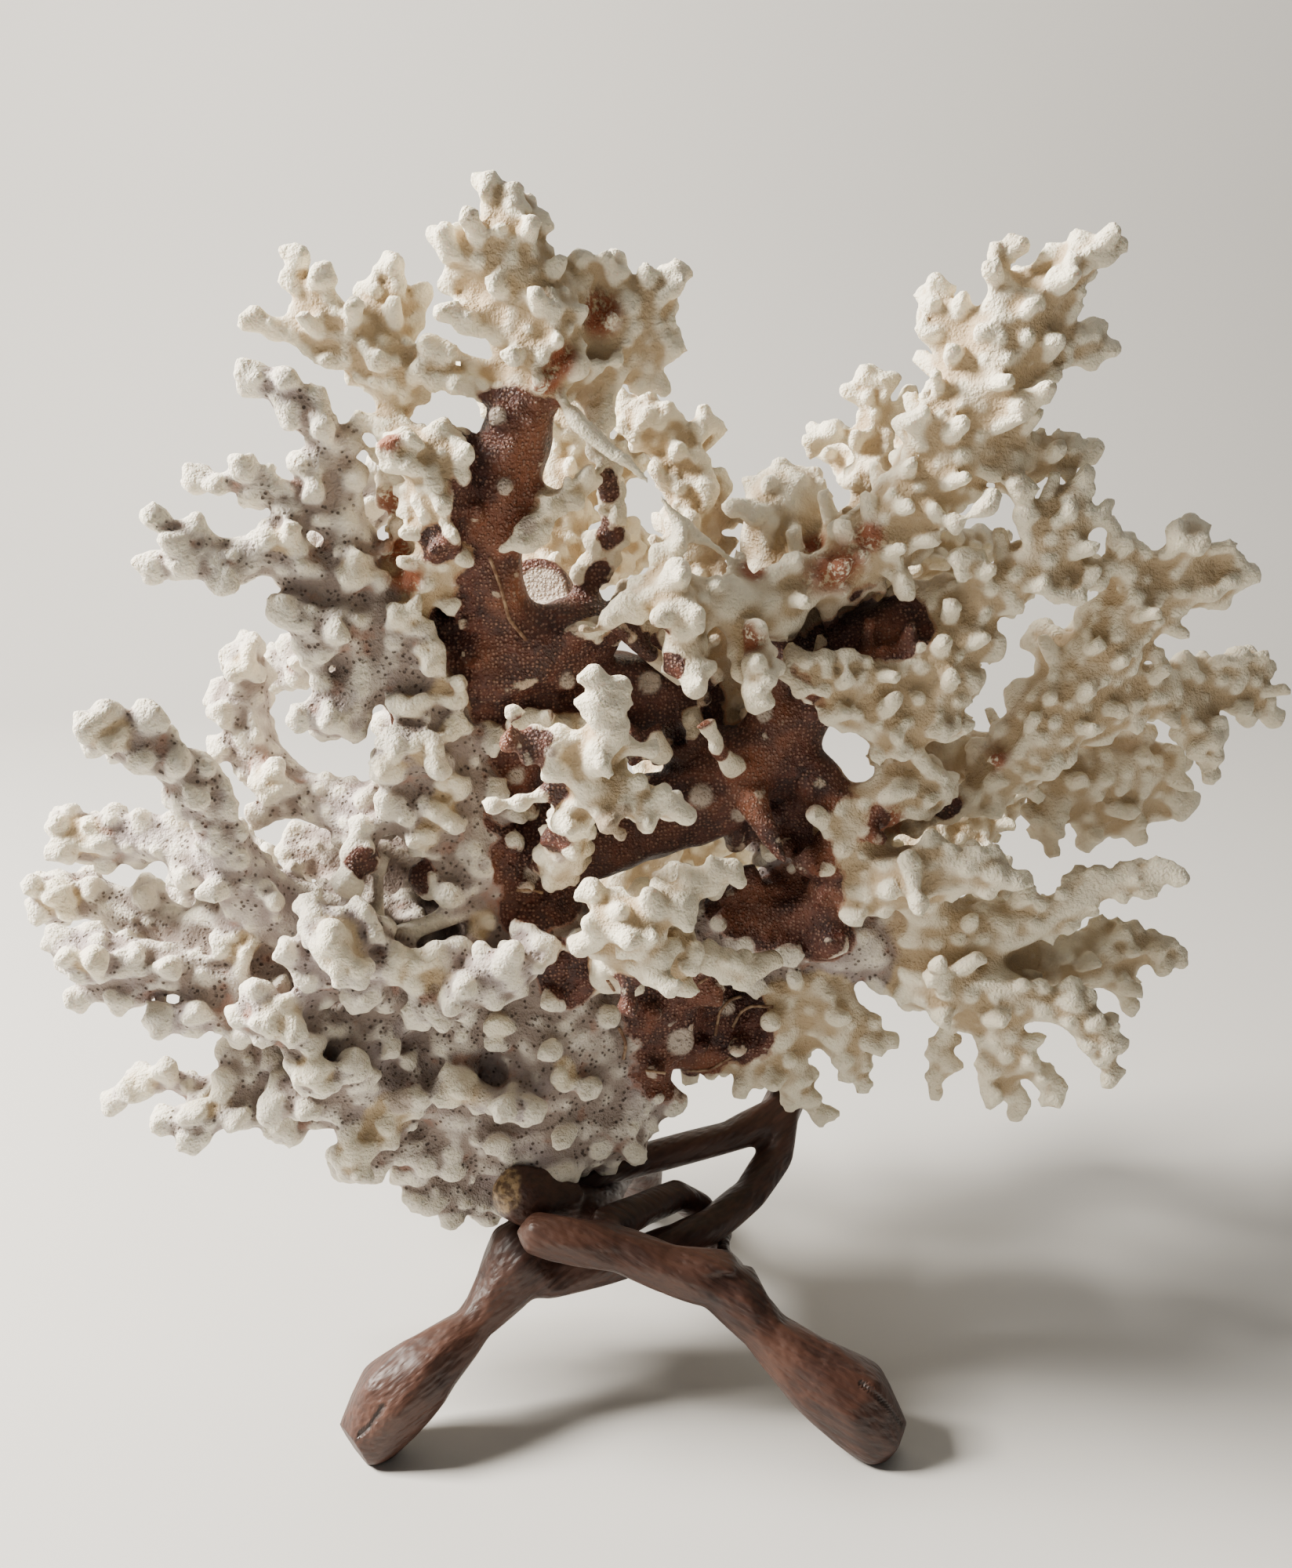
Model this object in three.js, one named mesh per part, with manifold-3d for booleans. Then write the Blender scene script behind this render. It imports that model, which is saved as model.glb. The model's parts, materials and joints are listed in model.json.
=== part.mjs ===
// A branching coral that rests on a carved stand of three interlocked wooden legs.
// Millimetres, +Z up, the front towards -Y.
import * as THREE from "three";
import Module from "manifold-3d";
import { mergeVertices } from "three/addons/utils/BufferGeometryUtils.js";

const wasm = await Module();
wasm.setup();

// The coral's stations are measured on an upright picture of it, as seen from a standing eye.
const EYE_HEIGHT = 299;
const EYE_BACK = 423;
const EYE_PITCH = THREE.MathUtils.degToRad(16.8);
const PICTURE_DEPTH = 436;

// Neighbouring pieces keep this much air between them.
const AIR = 0.4;
// The rounded end of a limb stands out by this share of its radius.
const END_SHARE = 0.7;
// A limb thinner than this has four sides, one thinner than the second value five, others six.
const THIN = 4.6;
const MEDIUM = 8.5;
// The shortest edge left along a seam, and how far a facet may turn for that, as a cosine.
const SHORT_EDGE = 3;
const LEAST_TURN = 0.6;

const CORAL_CREAM = { color: 0xd8cbb4, roughness: 0.85 };
const CORAL_GREY = { color: 0xb9b0ad, roughness: 0.9 };
const CORAL_BROWN = { color: 0x6a4030, roughness: 0.75 };
const LEG_WOOD = { color: 0x6b3f2e, roughness: 0.45 };

// A station of a coral limb is [right, up, back, radius]: right and up on the picture, back from
// the stand's middle along the floor, all in millimetres.
function seen([right, up, back, radius]) {
  const forward = PICTURE_DEPTH * Math.cos(EYE_PITCH) + up * Math.sin(EYE_PITCH);
  const rise = up * Math.cos(EYE_PITCH) - PICTURE_DEPTH * Math.sin(EYE_PITCH);
  const reach = (EYE_BACK + back) / forward;
  return { at: new THREE.Vector3(right * reach, back, EYE_HEIGHT + rise * reach), radius: radius * reach };
}

// A station of a wooden leg is [x, y, z, radius] in the part's own frame.
function placed([x, y, z, radius]) {
  return { at: new THREE.Vector3(x, y, z), radius };
}

// A limb is one closed tube through its stations, wide across the view by its radius and as deep
// as depth times that, with a blunt point past each end.
function limbSolid(stations, grow, depth) {
  const count = stations.length;
  const thickest = Math.max(...stations.map((station) => station.radius));
  const sides = thickest < THIN ? 4 : thickest < MEDIUM ? 5 : 6;
  // The facets lie half inside and half outside the round limb.
  const fullness = (1 + 1 / Math.cos(Math.PI / sides)) / 2;
  const run = stations[count - 1].at.clone().sub(stations[0].at).normalize();
  const lookAlong = Math.abs(run.y) < 0.75 ? new THREE.Vector3(0, 1, 0) : new THREE.Vector3(0, 0, 1);
  const corners = [];
  const faces = [];
  stations.forEach(({ at, radius }, index) => {
    const before = stations[Math.max(index - 1, 0)].at;
    const after = stations[Math.min(index + 1, count - 1)].at;
    const along = after.clone().sub(before).normalize();
    const across = along.clone().cross(lookAlong).normalize();
    const inward = across.clone().cross(along).normalize();
    for (let side = 0; side < sides; side += 1) {
      const turn = (2 * Math.PI * (side + (index % 2) / 2)) / sides;
      const corner = at.clone();
      corner.addScaledVector(across, (radius + grow) * fullness * Math.cos(turn));
      corner.addScaledVector(inward, (radius * depth + grow) * fullness * Math.sin(turn));
      corners.push(corner);
    }
  });
  for (let index = 0; index < count - 1; index += 1) {
    for (let side = 0; side < sides; side += 1) {
      const next = (side + 1) % sides;
      const low = index * sides;
      const high = low + sides;
      if (index % 2 === 0) {
        faces.push([low + side, low + next, high + side], [low + next, high + next, high + side]);
      } else {
        faces.push([low + side, low + next, high + next], [low + side, high + next, high + side]);
      }
    }
  }
  const startPoint = endPoint(stations[0], stations[1], grow);
  const farPoint = endPoint(stations[count - 1], stations[count - 2], grow);
  corners.push(startPoint, farPoint);
  const lastRing = (count - 1) * sides;
  for (let side = 0; side < sides; side += 1) {
    const next = (side + 1) % sides;
    faces.push([corners.length - 2, next, side]);
    faces.push([corners.length - 1, lastRing + side, lastRing + next]);
  }
  return solidOf(corners, faces);
}

function endPoint(end, neighbour, grow) {
  const outward = end.at.clone().sub(neighbour.at).normalize();
  return end.at.clone().addScaledVector(outward, END_SHARE * end.radius + grow);
}

function solidOf(corners, faces) {
  const vertProperties = new Float32Array(corners.flatMap((corner) => corner.toArray()));
  const triVerts = new Uint32Array(faces.flat());
  const solid = new wasm.Manifold(new wasm.Mesh({ numProp: 3, vertProperties, triVerts }));
  if (solid.volume() > 0) return solid;
  const turned = new Uint32Array(faces.flatMap(([a, b, c]) => [a, c, b]));
  return new wasm.Manifold(new wasm.Mesh({ numProp: 3, vertProperties, triVerts: turned }));
}

function joined(limbs, place, grow, depth) {
  const solids = limbs.map((limb) => limbSolid(limb.map(place), grow, depth));
  return solids.reduce((whole, solid) => whole.add(solid));
}

// Joining limbs leaves slivers along the seams. Each edge shorter than SHORT_EDGE is drawn into
// one of its ends, wherever the skin stays whole and no facet turns over.
function tidied(solid) {
  const mesh = solid.getMesh();
  const points = [];
  for (let start = 0; start < mesh.vertProperties.length; start += 3) {
    points.push(new THREE.Vector3().fromArray(mesh.vertProperties, start));
  }
  const faces = [];
  for (let start = 0; start < mesh.triVerts.length; start += 3) {
    faces.push(Array.from(mesh.triVerts.slice(start, start + 3)));
  }
  const facesAt = points.map(() => new Set());
  faces.forEach((face, index) => face.forEach((point) => facesAt[point].add(index)));
  let changed = true;
  while (changed) {
    changed = false;
    for (const face of faces.slice()) {
      for (let corner = 0; corner < 3 && face.length === 3; corner += 1) {
        const kept = face[corner];
        const dropped = face[(corner + 1) % 3];
        if (points[kept].distanceTo(points[dropped]) > SHORT_EDGE) continue;
        const drawn = drawIn(kept, dropped, points, faces, facesAt)
          || drawIn(dropped, kept, points, faces, facesAt);
        changed = changed || drawn;
        if (drawn) break;
      }
    }
  }
  const numbers = new Map();
  const corners = [];
  const whole = faces.filter((face) => face.length === 3);
  const renumbered = whole.map((face) => face.map((point) => {
    if (!numbers.has(point)) {
      numbers.set(point, corners.length);
      corners.push(points[point]);
    }
    return numbers.get(point);
  }));
  return solidOf(corners, renumbered);
}

function drawIn(kept, dropped, points, faces, facesAt) {
  const around = (point) => new Set([...facesAt[point]].flatMap((index) => faces[index]));
  const keptAround = around(kept);
  const shared = [...around(dropped)].filter((point) => keptAround.has(point));
  // Both ends and the two corners across the edge: any more, and the skin would pinch.
  if (shared.length !== 4) return false;
  const moving = [...facesAt[dropped]].filter((index) => !faces[index].includes(kept));
  for (const index of moving) {
    const before = facing(faces[index], points);
    const after = facing(faces[index].map((point) => (point === dropped ? kept : point)), points);
    if (before.normalize().dot(after.normalize()) < LEAST_TURN) return false;
  }
  for (const index of [...facesAt[dropped]]) {
    if (faces[index].includes(kept)) {
      faces[index].forEach((point) => facesAt[point].delete(index));
      faces[index].length = 0;
    } else {
      faces[index].splice(faces[index].indexOf(dropped), 1, kept);
      facesAt[kept].add(index);
    }
  }
  facesAt[dropped].clear();
  return true;
}

function facing([a, b, c], points) {
  const one = points[b].clone().sub(points[a]);
  const two = points[c].clone().sub(points[a]);
  return one.cross(two);
}

// Where a cut parts a piece in two, the larger stays.
function largest(solid) {
  const pieces = solid.decompose();
  return pieces.reduce((best, piece) => (piece.volume() > best.volume() ? piece : best));
}

function blockSolid(size, centre) {
  const geometry = new THREE.BoxGeometry(...size).translate(...centre);
  geometry.deleteAttribute("normal");
  geometry.deleteAttribute("uv");
  const merged = mergeVertices(geometry);
  const mesh = new wasm.Mesh({
    numProp: 3,
    vertProperties: new Float32Array(merged.attributes.position.array),
    triVerts: new Uint32Array(merged.index.array),
  });
  return new wasm.Manifold(mesh);
}

function meshOf(name, solid, finish) {
  const { vertProperties, triVerts } = solid.getMesh();
  const geometry = new THREE.BufferGeometry();
  geometry.setAttribute("position", new THREE.BufferAttribute(new Float32Array(vertProperties), 3));
  geometry.setIndex(new THREE.BufferAttribute(new Uint32Array(triVerts), 1));
  geometry.computeVertexNormals();
  const mesh = new THREE.Mesh(geometry, new THREE.MeshStandardMaterial({ metalness: 0, ...finish }));
  mesh.name = name;
  return mesh;
}

// The stand: each leg is one carved stick with a bulb at the foot, a thin ankle, a shoulder, and a
// long eye between two strands that close again in the head. Another leg runs through the eye.
const standLegs = {
  leg_left: [
    [
      [-74.4, -43.6, 3.4, 6.8], [-66, -40, 15.4, 9.4], [-56, -35, 22.5, 7.6], [-46.2, -27.8, 28.6, 5.8],
      [-39.5, -22, 35.5, 7.6], [-34.8, -17.5, 41.5, 9], [-33.5, -13.5, 47, 7],
    ],
    [
      [-35, -17.5, 39, 6.5], [-25, -17, 36.8, 5.2], [-6, -14, 40, 4.6], [9, -9.8, 43, 4.5],
      [18, -2.6, 43.6, 4.5], [29.5, 10, 45.6, 4.5], [37.2, 22.8, 50.5, 4.8], [40.5, 32, 59, 5.8],
    ],
    [
      [-33.8, -13, 46, 5], [-27, -4, 52, 4.2], [-13, 6.2, 55.8, 4], [24.2, 23.2, 57, 4.2],
      [36, 30.5, 58.5, 5.4],
    ],
    [[37.5, 29.5, 56, 5.6], [40.5, 33.5, 61, 6.2], [43.5, 39, 66, 5.2]],
  ],
  leg_right: [
    [
      [62.6, -42.8, 3.4, 7], [54, -40, 14.8, 9.6], [42, -37.6, 22.4, 7.8], [31.8, -34.5, 30.6, 6.4],
      [26.4, -31.5, 36.4, 7.4], [21.9, -28, 41.5, 7.8],
    ],
    [
      [21.9, -28.5, 42, 7], [6, -28, 46.4, 5.8], [-7, -26.4, 50.6, 5.6], [-21.4, -27.3, 54.6, 5.6],
      [-30.6, -27.2, 56.2, 5],
    ],
    [
      [22, -22, 39.5, 5.6], [22.6, -12.2, 35.6, 4.4], [20.4, 3.4, 35.8, 4], [14.6, 8, 43.2, 3.9],
      [8.5, 3.6, 49.4, 4], [-1, -7, 51.4, 4.2], [-12, -20, 53, 4.8],
    ],
  ],
  leg_back: [
    [
      [-4.1, 85.6, 3.4, 6.8], [-4.6, 76, 15.6, 9], [-5, 63, 24, 8], [-5.6, 51, 31.5, 6.2],
      [-6.4, 43, 38, 7.6], [-7.4, 36, 44.4, 8.4],
    ],
    [
      [-7.4, 36, 43, 6.4], [-9.4, 22, 45, 4.6], [-12.5, 3, 47.4, 4.2], [-17, -4, 50.4, 5],
      [-26.5, -10, 56, 6],
    ],
    [
      [-7.8, 35, 49, 5.6], [-17, 18, 64, 3.6], [-22, 4, 65.4, 3.6], [-26, -6, 61.6, 4.6],
    ],
    [[-22.5, -8, 54.6, 7], [-29.5, -12.6, 58.4, 7], [-36.6, -16.4, 62, 5.4]],
  ],
};

// The coral: one grown piece, parted at its main forks. Each entry lists the limbs of one part.
const coralParts = {
  coral_base: [
    [[-50, -78, -5, 9], [-42, -88, -2, 12], [-22, -89, 0, 13], [-6, -86, 2, 10], [1, -76, 4, 8]],
    [[-26, -92, 6, 14], [-24, -70, 6, 21], [-26, -48, 5, 19], [-31, -30, 3, 14]],
    [[-52, -72, -2, 9], [-45, -56, -1, 12], [-36, -40, 2, 12]],
    [
      [-8, -78, 6, 10], [-1, -60, 8, 13], [8, -41, 9, 14], [22, -37, 11, 13.4], [42, -35, 12, 12.4],
      [62, -42, 11, 9],
    ],
    [[6, -50, 14, 12], [26, -61, 26, 10], [35, -67, 34, 9]],
    [[-24, -66, 18, 18], [-20, -58, 38, 14]],
    [[-61, -97, -5, 4.6], [-52, -103, -2, 7], [-36, -102, 3, 8]],
    [[-60, -61, -19, 2.4], [-53, -52, -18, 5], [-46, -48, -16, 7], [-35, -48, -16, 6], [-25, -40, -18, 2.4]],
    [[-36, -82, -22, 5], [-34, -80, -12, 7]],
    [[-63, -81, -13, 4.4], [-54, -79, -6, 7]],
  ],
  coral_trunk_left: [
    [
      [-38, -32, 3, 12], [-44, -18, 1, 13], [-48, -6, 0, 12], [-53, 10, -2, 11], [-59, 30, -3, 9],
      [-68, 47, -3, 8],
    ],
    [[-64, 10, -15, 6], [-58, 8, -8, 9]],
    [[-66, -5, -12, 4.5], [-57, -9, -6, 8]],
    [[-75, -33, -16, 2.6], [-76, -22, -15, 2.4], [-72, -12, -11, 3], [-62, -8, -6, 5]],
    [[-44, -24, 14, 10], [-60, -24, 18, 10], [-76, -20, 20, 9], [-88, -14, 20, 6]],
  ],
  coral_hand_upper_left: [
    [
      [-101, 104.5, -6, 3], [-93, 102, -6, 4.6], [-85, 94, -5, 5], [-80, 84, -4, 5.6], [-77, 68, -4, 6.4],
      [-73, 54, -3, 7],
    ],
    [[-88, 81, -8, 4], [-80, 79, -5, 4.8]],
    [[-99, 84, -10, 2.4], [-97, 76, -9, 4.6], [-89, 72, -7, 5.6], [-77, 68, -4, 6]],
    [[-117, 77, -6, 2.4], [-107, 77, -7, 2.8], [-95, 74, -8, 3.8]],
    [[-107, 82, -14, 2], [-97, 76, -9, 3.6]],
    [
      [-127, 55, -16, 2.8], [-119, 57, -16, 5.6], [-107, 57, -14, 6.8], [-97, 59, -11, 5.6],
      [-86, 55, -8, 5.6], [-74, 49, -4, 7],
    ],
    [[-128, 69, -18, 2.4], [-117, 64.5, -16, 3], [-108, 58, -14, 4]],
    [[-93, 45, -14, 3.6], [-84, 38, -11, 7], [-73, 40, -6, 8]],
    [[-88, 17, -14, 3.6], [-78, 18, -9, 6.5], [-70, 32, -5, 8]],
  ],
  coral_twig_left: [
    [
      [-102, 37, 12, 2.8], [-101, 29, 12, 5], [-102, 19, 11, 5.8], [-99, 7, 9, 6.2], [-90, -2, 7, 6],
      [-70, -9, 3, 8],
    ],
    [[-110, 24, 14, 2.4], [-102, 17, 11, 4.4]],
    [[-109, 10, 10, 2.8], [-100, 8, 9, 4.6]],
    [[-99, -8, 2, 3.4], [-90, -4, 6, 5]],
  ],
  coral_hand_left: [
    [
      [-142, 14, -22, 3], [-135, 13, -21, 4.8], [-125, 9, -20, 5], [-117, 1, -18, 5.2],
      [-111, -9, -16, 5.4], [-106, -22, -12, 8], [-97, -33, -8, 10.5], [-80, -36, -3, 10], [-60, -38, 0, 10],
    ],
    [[-137, 18.6, -25, 2.6], [-133, 12, -21, 4]],
    [[-128, 17.6, -22, 2.6], [-126, 10, -20, 4]],
    [
      [-150, -9, 2, 2.4], [-143, -13.6, 0, 5.4], [-134, -14, -3, 5.6], [-122, -15, -7, 5.6],
      [-108, -20, -11, 7],
    ],
    [[-153, -30, 8, 6], [-143, -28, 6, 7], [-131, -33, 3, 6.6], [-117, -36, -2, 5.5], [-101, -34, -7, 8]],
  ],
  coral_hand_lower_left: [
    [
      [-149, -40, -14, 3.6], [-141, -46, -14, 7.6], [-129, -47, -14, 7.6], [-117, -47, -13, 6.4],
      [-105, -50, -12, 7.4], [-92, -53, -9, 8.4], [-76, -56, -5, 9], [-60, -58, -2, 10],
    ],
    [[-145, -55, -16, 3.4], [-139, -48, -15, 5]],
    [[-134, -55, -17, 3.4], [-130, -48, -15, 5]],
    [[-127, -61, -22, 2], [-118, -59, -20, 3.8], [-104, -60, -16, 4.5], [-90, -58, -11, 5]],
    [[-105, -59, -27, 3], [-95, -61, -24, 6], [-81, -63, -17, 6.5], [-66, -62, -8, 8]],
    [[-99, -53, -28, 3.4], [-93, -60, -23, 5]],
    [[-108, -68, -8, 3.5], [-97, -71, -8, 5.8], [-84, -71, -8, 6], [-66, -66, -5, 8]],
    [[-107, -77, -14, 3.8], [-96, -72, -10, 5]],
    [[-94, -42, -28, 2.4], [-86, -45, -25, 5], [-74, -47, -20, 9.5], [-62, -52, -9, 10]],
    [[-86, -31, -26, 3], [-79, -40, -22, 6]],
    [[-73, -33, -25, 4.6], [-72, -42, -20, 7]],
  ],
  coral_fingers_bottom_left: [
    [
      [-138, -83, -6, 1.8], [-132, -79, -6, 3.2], [-123, -76.5, -6, 3.2], [-112, -80, -6, 4],
      [-97, -82, -8, 5], [-80, -81, -10, 6.5], [-62, -81, -6, 8],
    ],
    [[-124, -72, -10, 2], [-120, -77, -7, 3]],
    [
      [-126, -86, -18, 2], [-116, -86, -18, 5], [-104, -85, -17, 4.4], [-88, -86, -12, 3.6],
      [-72, -84, -9, 6],
    ],
    [[-97, -81, -23, 4], [-88, -80, -21, 5.6], [-78, -79, -16, 7], [-64, -80, -8, 8]],
    [[-89, -70, -26, 2.8], [-84, -77, -21, 4.4]],
    [[-75, -71, -24, 4.6], [-73, -78, -16, 6]],
    [[-77, -97, -13, 4.6], [-71, -93, -10, 5.6], [-62, -88, -6, 7]],
  ],
  coral_trunk_middle: [
    [[-54, 24, 3, 9], [-46, 28, 3, 11], [-34, 33, 3, 13], [-22, 36, 6, 12.4], [-12, 43, 9, 9]],
    [[-38, 40, 0, 9], [-40, 58, -2, 8.4], [-38, 72, -3, 9.4], [-34, 84, -3, 9.8], [-32, 96, -3, 9.6]],
    [[-36, -34, 9, 12], [-36, -10, 10, 12.4], [-34, 10, 9, 12], [-30, 28, 6, 11]],
    [[-28, 18, 12, 11], [-10, 22, 15, 12.4], [8, 22, 20, 10]],
    [[-10, 40, -9, 2.4], [-18, 38, -4, 4]],
  ],
  coral_crown_left: [
    [
      [-59, 42, -2, 4.4], [-62, 56, 0, 4], [-64, 72, 1, 3.8], [-65, 88, 1, 3.6], [-63, 98, 0, 7.6],
      [-67, 110, 0, 10.4], [-77, 114, -2, 8.6], [-89, 116, -4, 5], [-102, 119, -6, 3.4],
    ],
    [[-90.4, 140, -4, 1.8], [-89, 131, -4, 3.6], [-86, 121, -4, 4.8], [-78, 114, -2, 7]],
    [[-83, 133, -8, 2.4], [-81, 123, -5, 5], [-76, 115, -3, 7]],
    [[-65, 136.4, 2, 2], [-66, 129, 2, 5], [-67, 118, 1, 8]],
    [[-57, 125, 5, 3], [-64, 114, 1, 7]],
    [[-60, 44, 0, 7], [-54, 58, -7, 8], [-53, 70, -10, 9], [-53, 80, -12, 9.4], [-53, 90, -13, 5.4]],
    [[-62, 89, -13, 3.6], [-56, 79, -12, 7]],
    [[-74, 85, -12, 2.4], [-65, 84, -12, 2.4], [-55, 80, -12, 5]],
    [[-66, 92, -4, 5], [-56, 84, -8, 7]],
  ],
  coral_crown_middle: [
    [
      [-32, 98, -3, 9.4], [-27, 107, -2, 13], [-29, 120, -2, 14.4], [-35, 134, -4, 11], [-37, 147, -5, 7.4],
      [-41, 155, -5, 3.8],
    ],
    [[-54, 140, -8, 4.6], [-45, 136, -7, 5.4], [-35, 128, -5, 8]],
    [[-27, 144, -2, 3], [-27, 134, -2, 5.4], [-29, 122, -2, 8]],
    [[-53, 121, -12, 3.2], [-41, 118, -9, 4.4], [-29, 113, -5, 8]],
    [[-51, 129, -3, 3.8], [-36, 125, -3, 7]],
    [[-16, 135, 2, 3.8], [-20, 126, 1, 8], [-27, 114, -1, 10]],
    [[-56, 114, -7, 2.8], [-53, 104, -7, 4.6], [-42, 101, -5, 5], [-32, 104, -3, 7]],
  ],
  coral_crown_inner: [
    [
      [-16, 40, 12, 5], [-14, 50, 10, 4.6], [-9, 64, 8, 4.3], [-10, 79, 7, 4], [-12.5, 90, 6, 3.6],
      [-11, 103, 7, 7], [-10, 114, 7, 9], [-5, 125, 7, 7.6], [-8, 134, 7, 3.6],
    ],
    [[9, 131, 9, 3.6], [0, 125, 8, 6.4], [-8, 115, 7, 7]],
    [[8, 113, 10, 4.4], [-2, 114, 9, 7], [-10, 110, 7, 7]],
    [[5, 101, 11, 3.6], [-5, 107, 9, 6]],
    [[-35, 60, -11, 2.8], [-31, 63, -10, 4], [-25, 71, -9, 4.2], [-16, 76, -3, 4.2], [-10, 79, 6, 3.6]],
  ],
  coral_arch: [
    [
      [-20, 95, -9, 2.6], [-13, 88, -11, 2.8], [-5, 82, -11, 2.8], [5, 72, -9, 2.7], [13, 63, -5, 2.6],
      [22, 58, -1, 2.6],
    ],
  ],
  coral_trunk_right: [
    [
      [-28, -22, 6, 12], [-18, -14, 6, 12.4], [-4, -10, 7, 11.4], [15, -4, 8, 10.6], [31, 8, 9, 11],
      [41, 24, 11, 10], [52, 36, 12, 9], [68, 41, 10, 7.6], [80, 41, 8, 5],
    ],
    [[-16, -38, 20, 11], [4, -26, 22, 13], [24, -18, 20, 12], [38, -12, 17, 9]],
    [[11, 14, -20, 2], [16, 16, -17, 3.6], [19, 8, -11, 3.6], [24, 2, 2, 5]],
    [[36, -23, -9, 1.8], [32, -14, -8, 3.6], [28, -6, -4, 4], [26, 2, 4, 6]],
    [[55, -11, 1, 4.4], [47, -3, 4, 6.4], [34, 9, 8, 8]],
  ],
  coral_lobes_middle: [
    [[39, 26, 12, 7], [36, 44, 16, 9], [36, 60, 20, 12], [36, 71, 20, 12.4], [35, 79, 20, 9]],
    [[20, 71, 8, 3], [29, 69, 11, 4.5], [35, 58, 15, 6]],
    [
      [-12, 40, -19, 2.8], [-4, 45, -16, 5], [5, 50, -12, 7.4], [16, 47, -9, 7], [26, 44, -3, 9],
      [36, 44, 8, 9],
    ],
    [[8, 62, -11, 4], [5, 52, -12, 6.6]],
    [[14, 23, -13, 2.4], [11, 33, -13, 5], [12, 45, -11, 5]],
    [[29, 21, -11, 2.6], [27, 30, -10, 5.4], [24, 42, -6, 6.6]],
  ],
  coral_crown_right: [
    [
      [45, 50, 4, 8], [52, 58, 6, 10.6], [62, 65, 7, 11.6], [73, 78, 7, 12], [81, 92, 6, 12.6],
      [87, 104, 5, 12.2], [92, 116, 4, 12.4], [100, 127, 3, 9.4], [113, 135, 1, 6.2],
      [121, 138, 0, 3.8],
    ],
    [[74, 128, 8, 4], [76, 119, 8, 7], [84, 106, 6, 10]],
    [[87, 134, -3, 3], [91, 122, 1, 7]],
    [[94, 138, 3, 3.6], [97, 126, 3, 8]],
    [[117, 112, 8, 3.8], [108, 112, 7, 6.6], [96, 110, 5, 9]],
    [[105, 103, -9, 2], [99, 99, -7, 3], [90, 95, -1, 5]],
    [[114, 85, 10, 4.4], [104, 84, 9, 6.6], [90, 86, 7, 9]],
    [[98, 68, -2, 3], [95, 76, 0, 4.2], [88, 84, 3, 7]],
    [[89, 73, -9, 2.4], [80, 66, -5, 2.8], [70, 70, 1, 5]],
    [[68, 92, -1, 5.4], [77, 90, 3, 8]],
    [[66, 48, -1, 3.2], [62, 58, 1, 5]],
    [[24, 49, -5, 4.4], [33, 50, -1, 6.6], [46, 54, 4, 8]],
  ],
  coral_fan_back_middle: [
    [
      [-4, 96, 26, 5.6], [6, 87, 28, 8.4], [12, 74, 28, 9], [12, 60, 27, 8.4], [12, 44, 27, 11],
      [13, 26, 27, 13.4], [14, 8, 25, 12.4],
    ],
    [[17, 92, 30, 4], [9, 82, 28, 7]],
    [[22, 68, 32, 4], [12, 66, 28, 7]],
  ],
  coral_fan_back_right: [
    [
      [57, 107, 32, 4.6], [59, 94, 32, 5.6], [58, 80, 30, 6.6], [57, 64, 28, 7], [54, 48, 24, 7],
      [50, 32, 20, 7],
    ],
    [[40, 87, 30, 3], [48, 89, 31, 2.8], [58, 88, 31, 5]],
    [[68, 100, 36, 3], [60, 90, 32, 5]],
  ],
  coral_fan_upper_right: [
    [
      [64, 42, 12, 7], [76, 47, 8, 6.4], [91, 50, 4, 6.8], [102, 59, 2, 7.6], [108, 69, 2, 7.2],
      [112, 76, 2, 4],
    ],
    [[118, 69, 0, 3.4], [108, 64, 2, 6]],
    [[118, 53, 2, 3.4], [104, 56, 3, 6]],
    [[111, 47, -3, 3.4], [101, 55, 1, 6]],
    [[79, 58, -1, 4.6], [89, 52, 3, 6]],
    [[91, 31, -1, 2.4], [81, 38, 2, 5], [73, 45, 7, 6]],
    [[37, 28, -4, 5.4], [48, 28, -2, 6.6], [62, 29, 0, 7], [78, 34, 2, 7], [88, 44, 4, 5]],
    [[45, 20, -2, 5], [61, 15, 1, 9], [74, 19, 2, 8.4], [83, 29, 2, 5.4]],
    [[65, 9, -4, 5], [62, 16, 1, 7.6]],
  ],
  coral_fan_right: [
    [
      [52, -22, 13, 7.4], [60, -12, 14, 4.6], [74, -6, 14, 3.8], [86, -2, 14, 6], [98, 9, 14, 11],
      [114, 29, 12, 11.6], [123, 42, 10, 9.8], [132, 49, 8, 9], [143, 54, 6, 7], [155, 53.4, 4, 3],
    ],
    [[121, 62, 4, 4.8], [124, 52, 7, 7.6]],
    [[139, 66, 4, 5.4], [137, 56, 7, 7]],
    [[147, 47, 9, 3.6], [138, 51, 7, 6]],
    [[100, 36, 21, 5.4], [107, 34, 17, 7], [114, 28, 12, 8]],
    [[108, 18, 14, 9], [122, 22, 16, 8.6], [136, 25, 19, 8], [149, 27, 21, 7], [159, 30, 22, 4.4]],
    [[161, 17, 24, 3.8], [148, 23, 21, 6]],
    [[144, 0, 12, 2.4], [143, 10, 13, 5.2], [138, 20, 17, 6.4]],
  ],
  coral_fan_lower_right: [
    [[58, 8, 24, 5], [72, 9, 26, 7], [88, 7, 26, 7], [110, 2, 27, 9.4], [124, 5, 28, 9], [135, 5, 30, 6]],
    [[137, -6, 31, 3.8], [127, 2, 29, 6.6]],
    [[125, -13, 31, 4.4], [121, 0, 28, 7]],
    [[114, -16, 29, 3.8], [111, -3, 26, 7]],
    [[104, -19, 23, 2.6], [102, -9, 22, 6], [106, 0, 24, 7]],
  ],
  coral_hand_right: [
    [[44, -26, 5, 8], [57, -25, 1, 9], [75, -22, -4, 8.4], [90, -22, -8, 5.8], [98, -26, -10, 2.6]],
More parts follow.
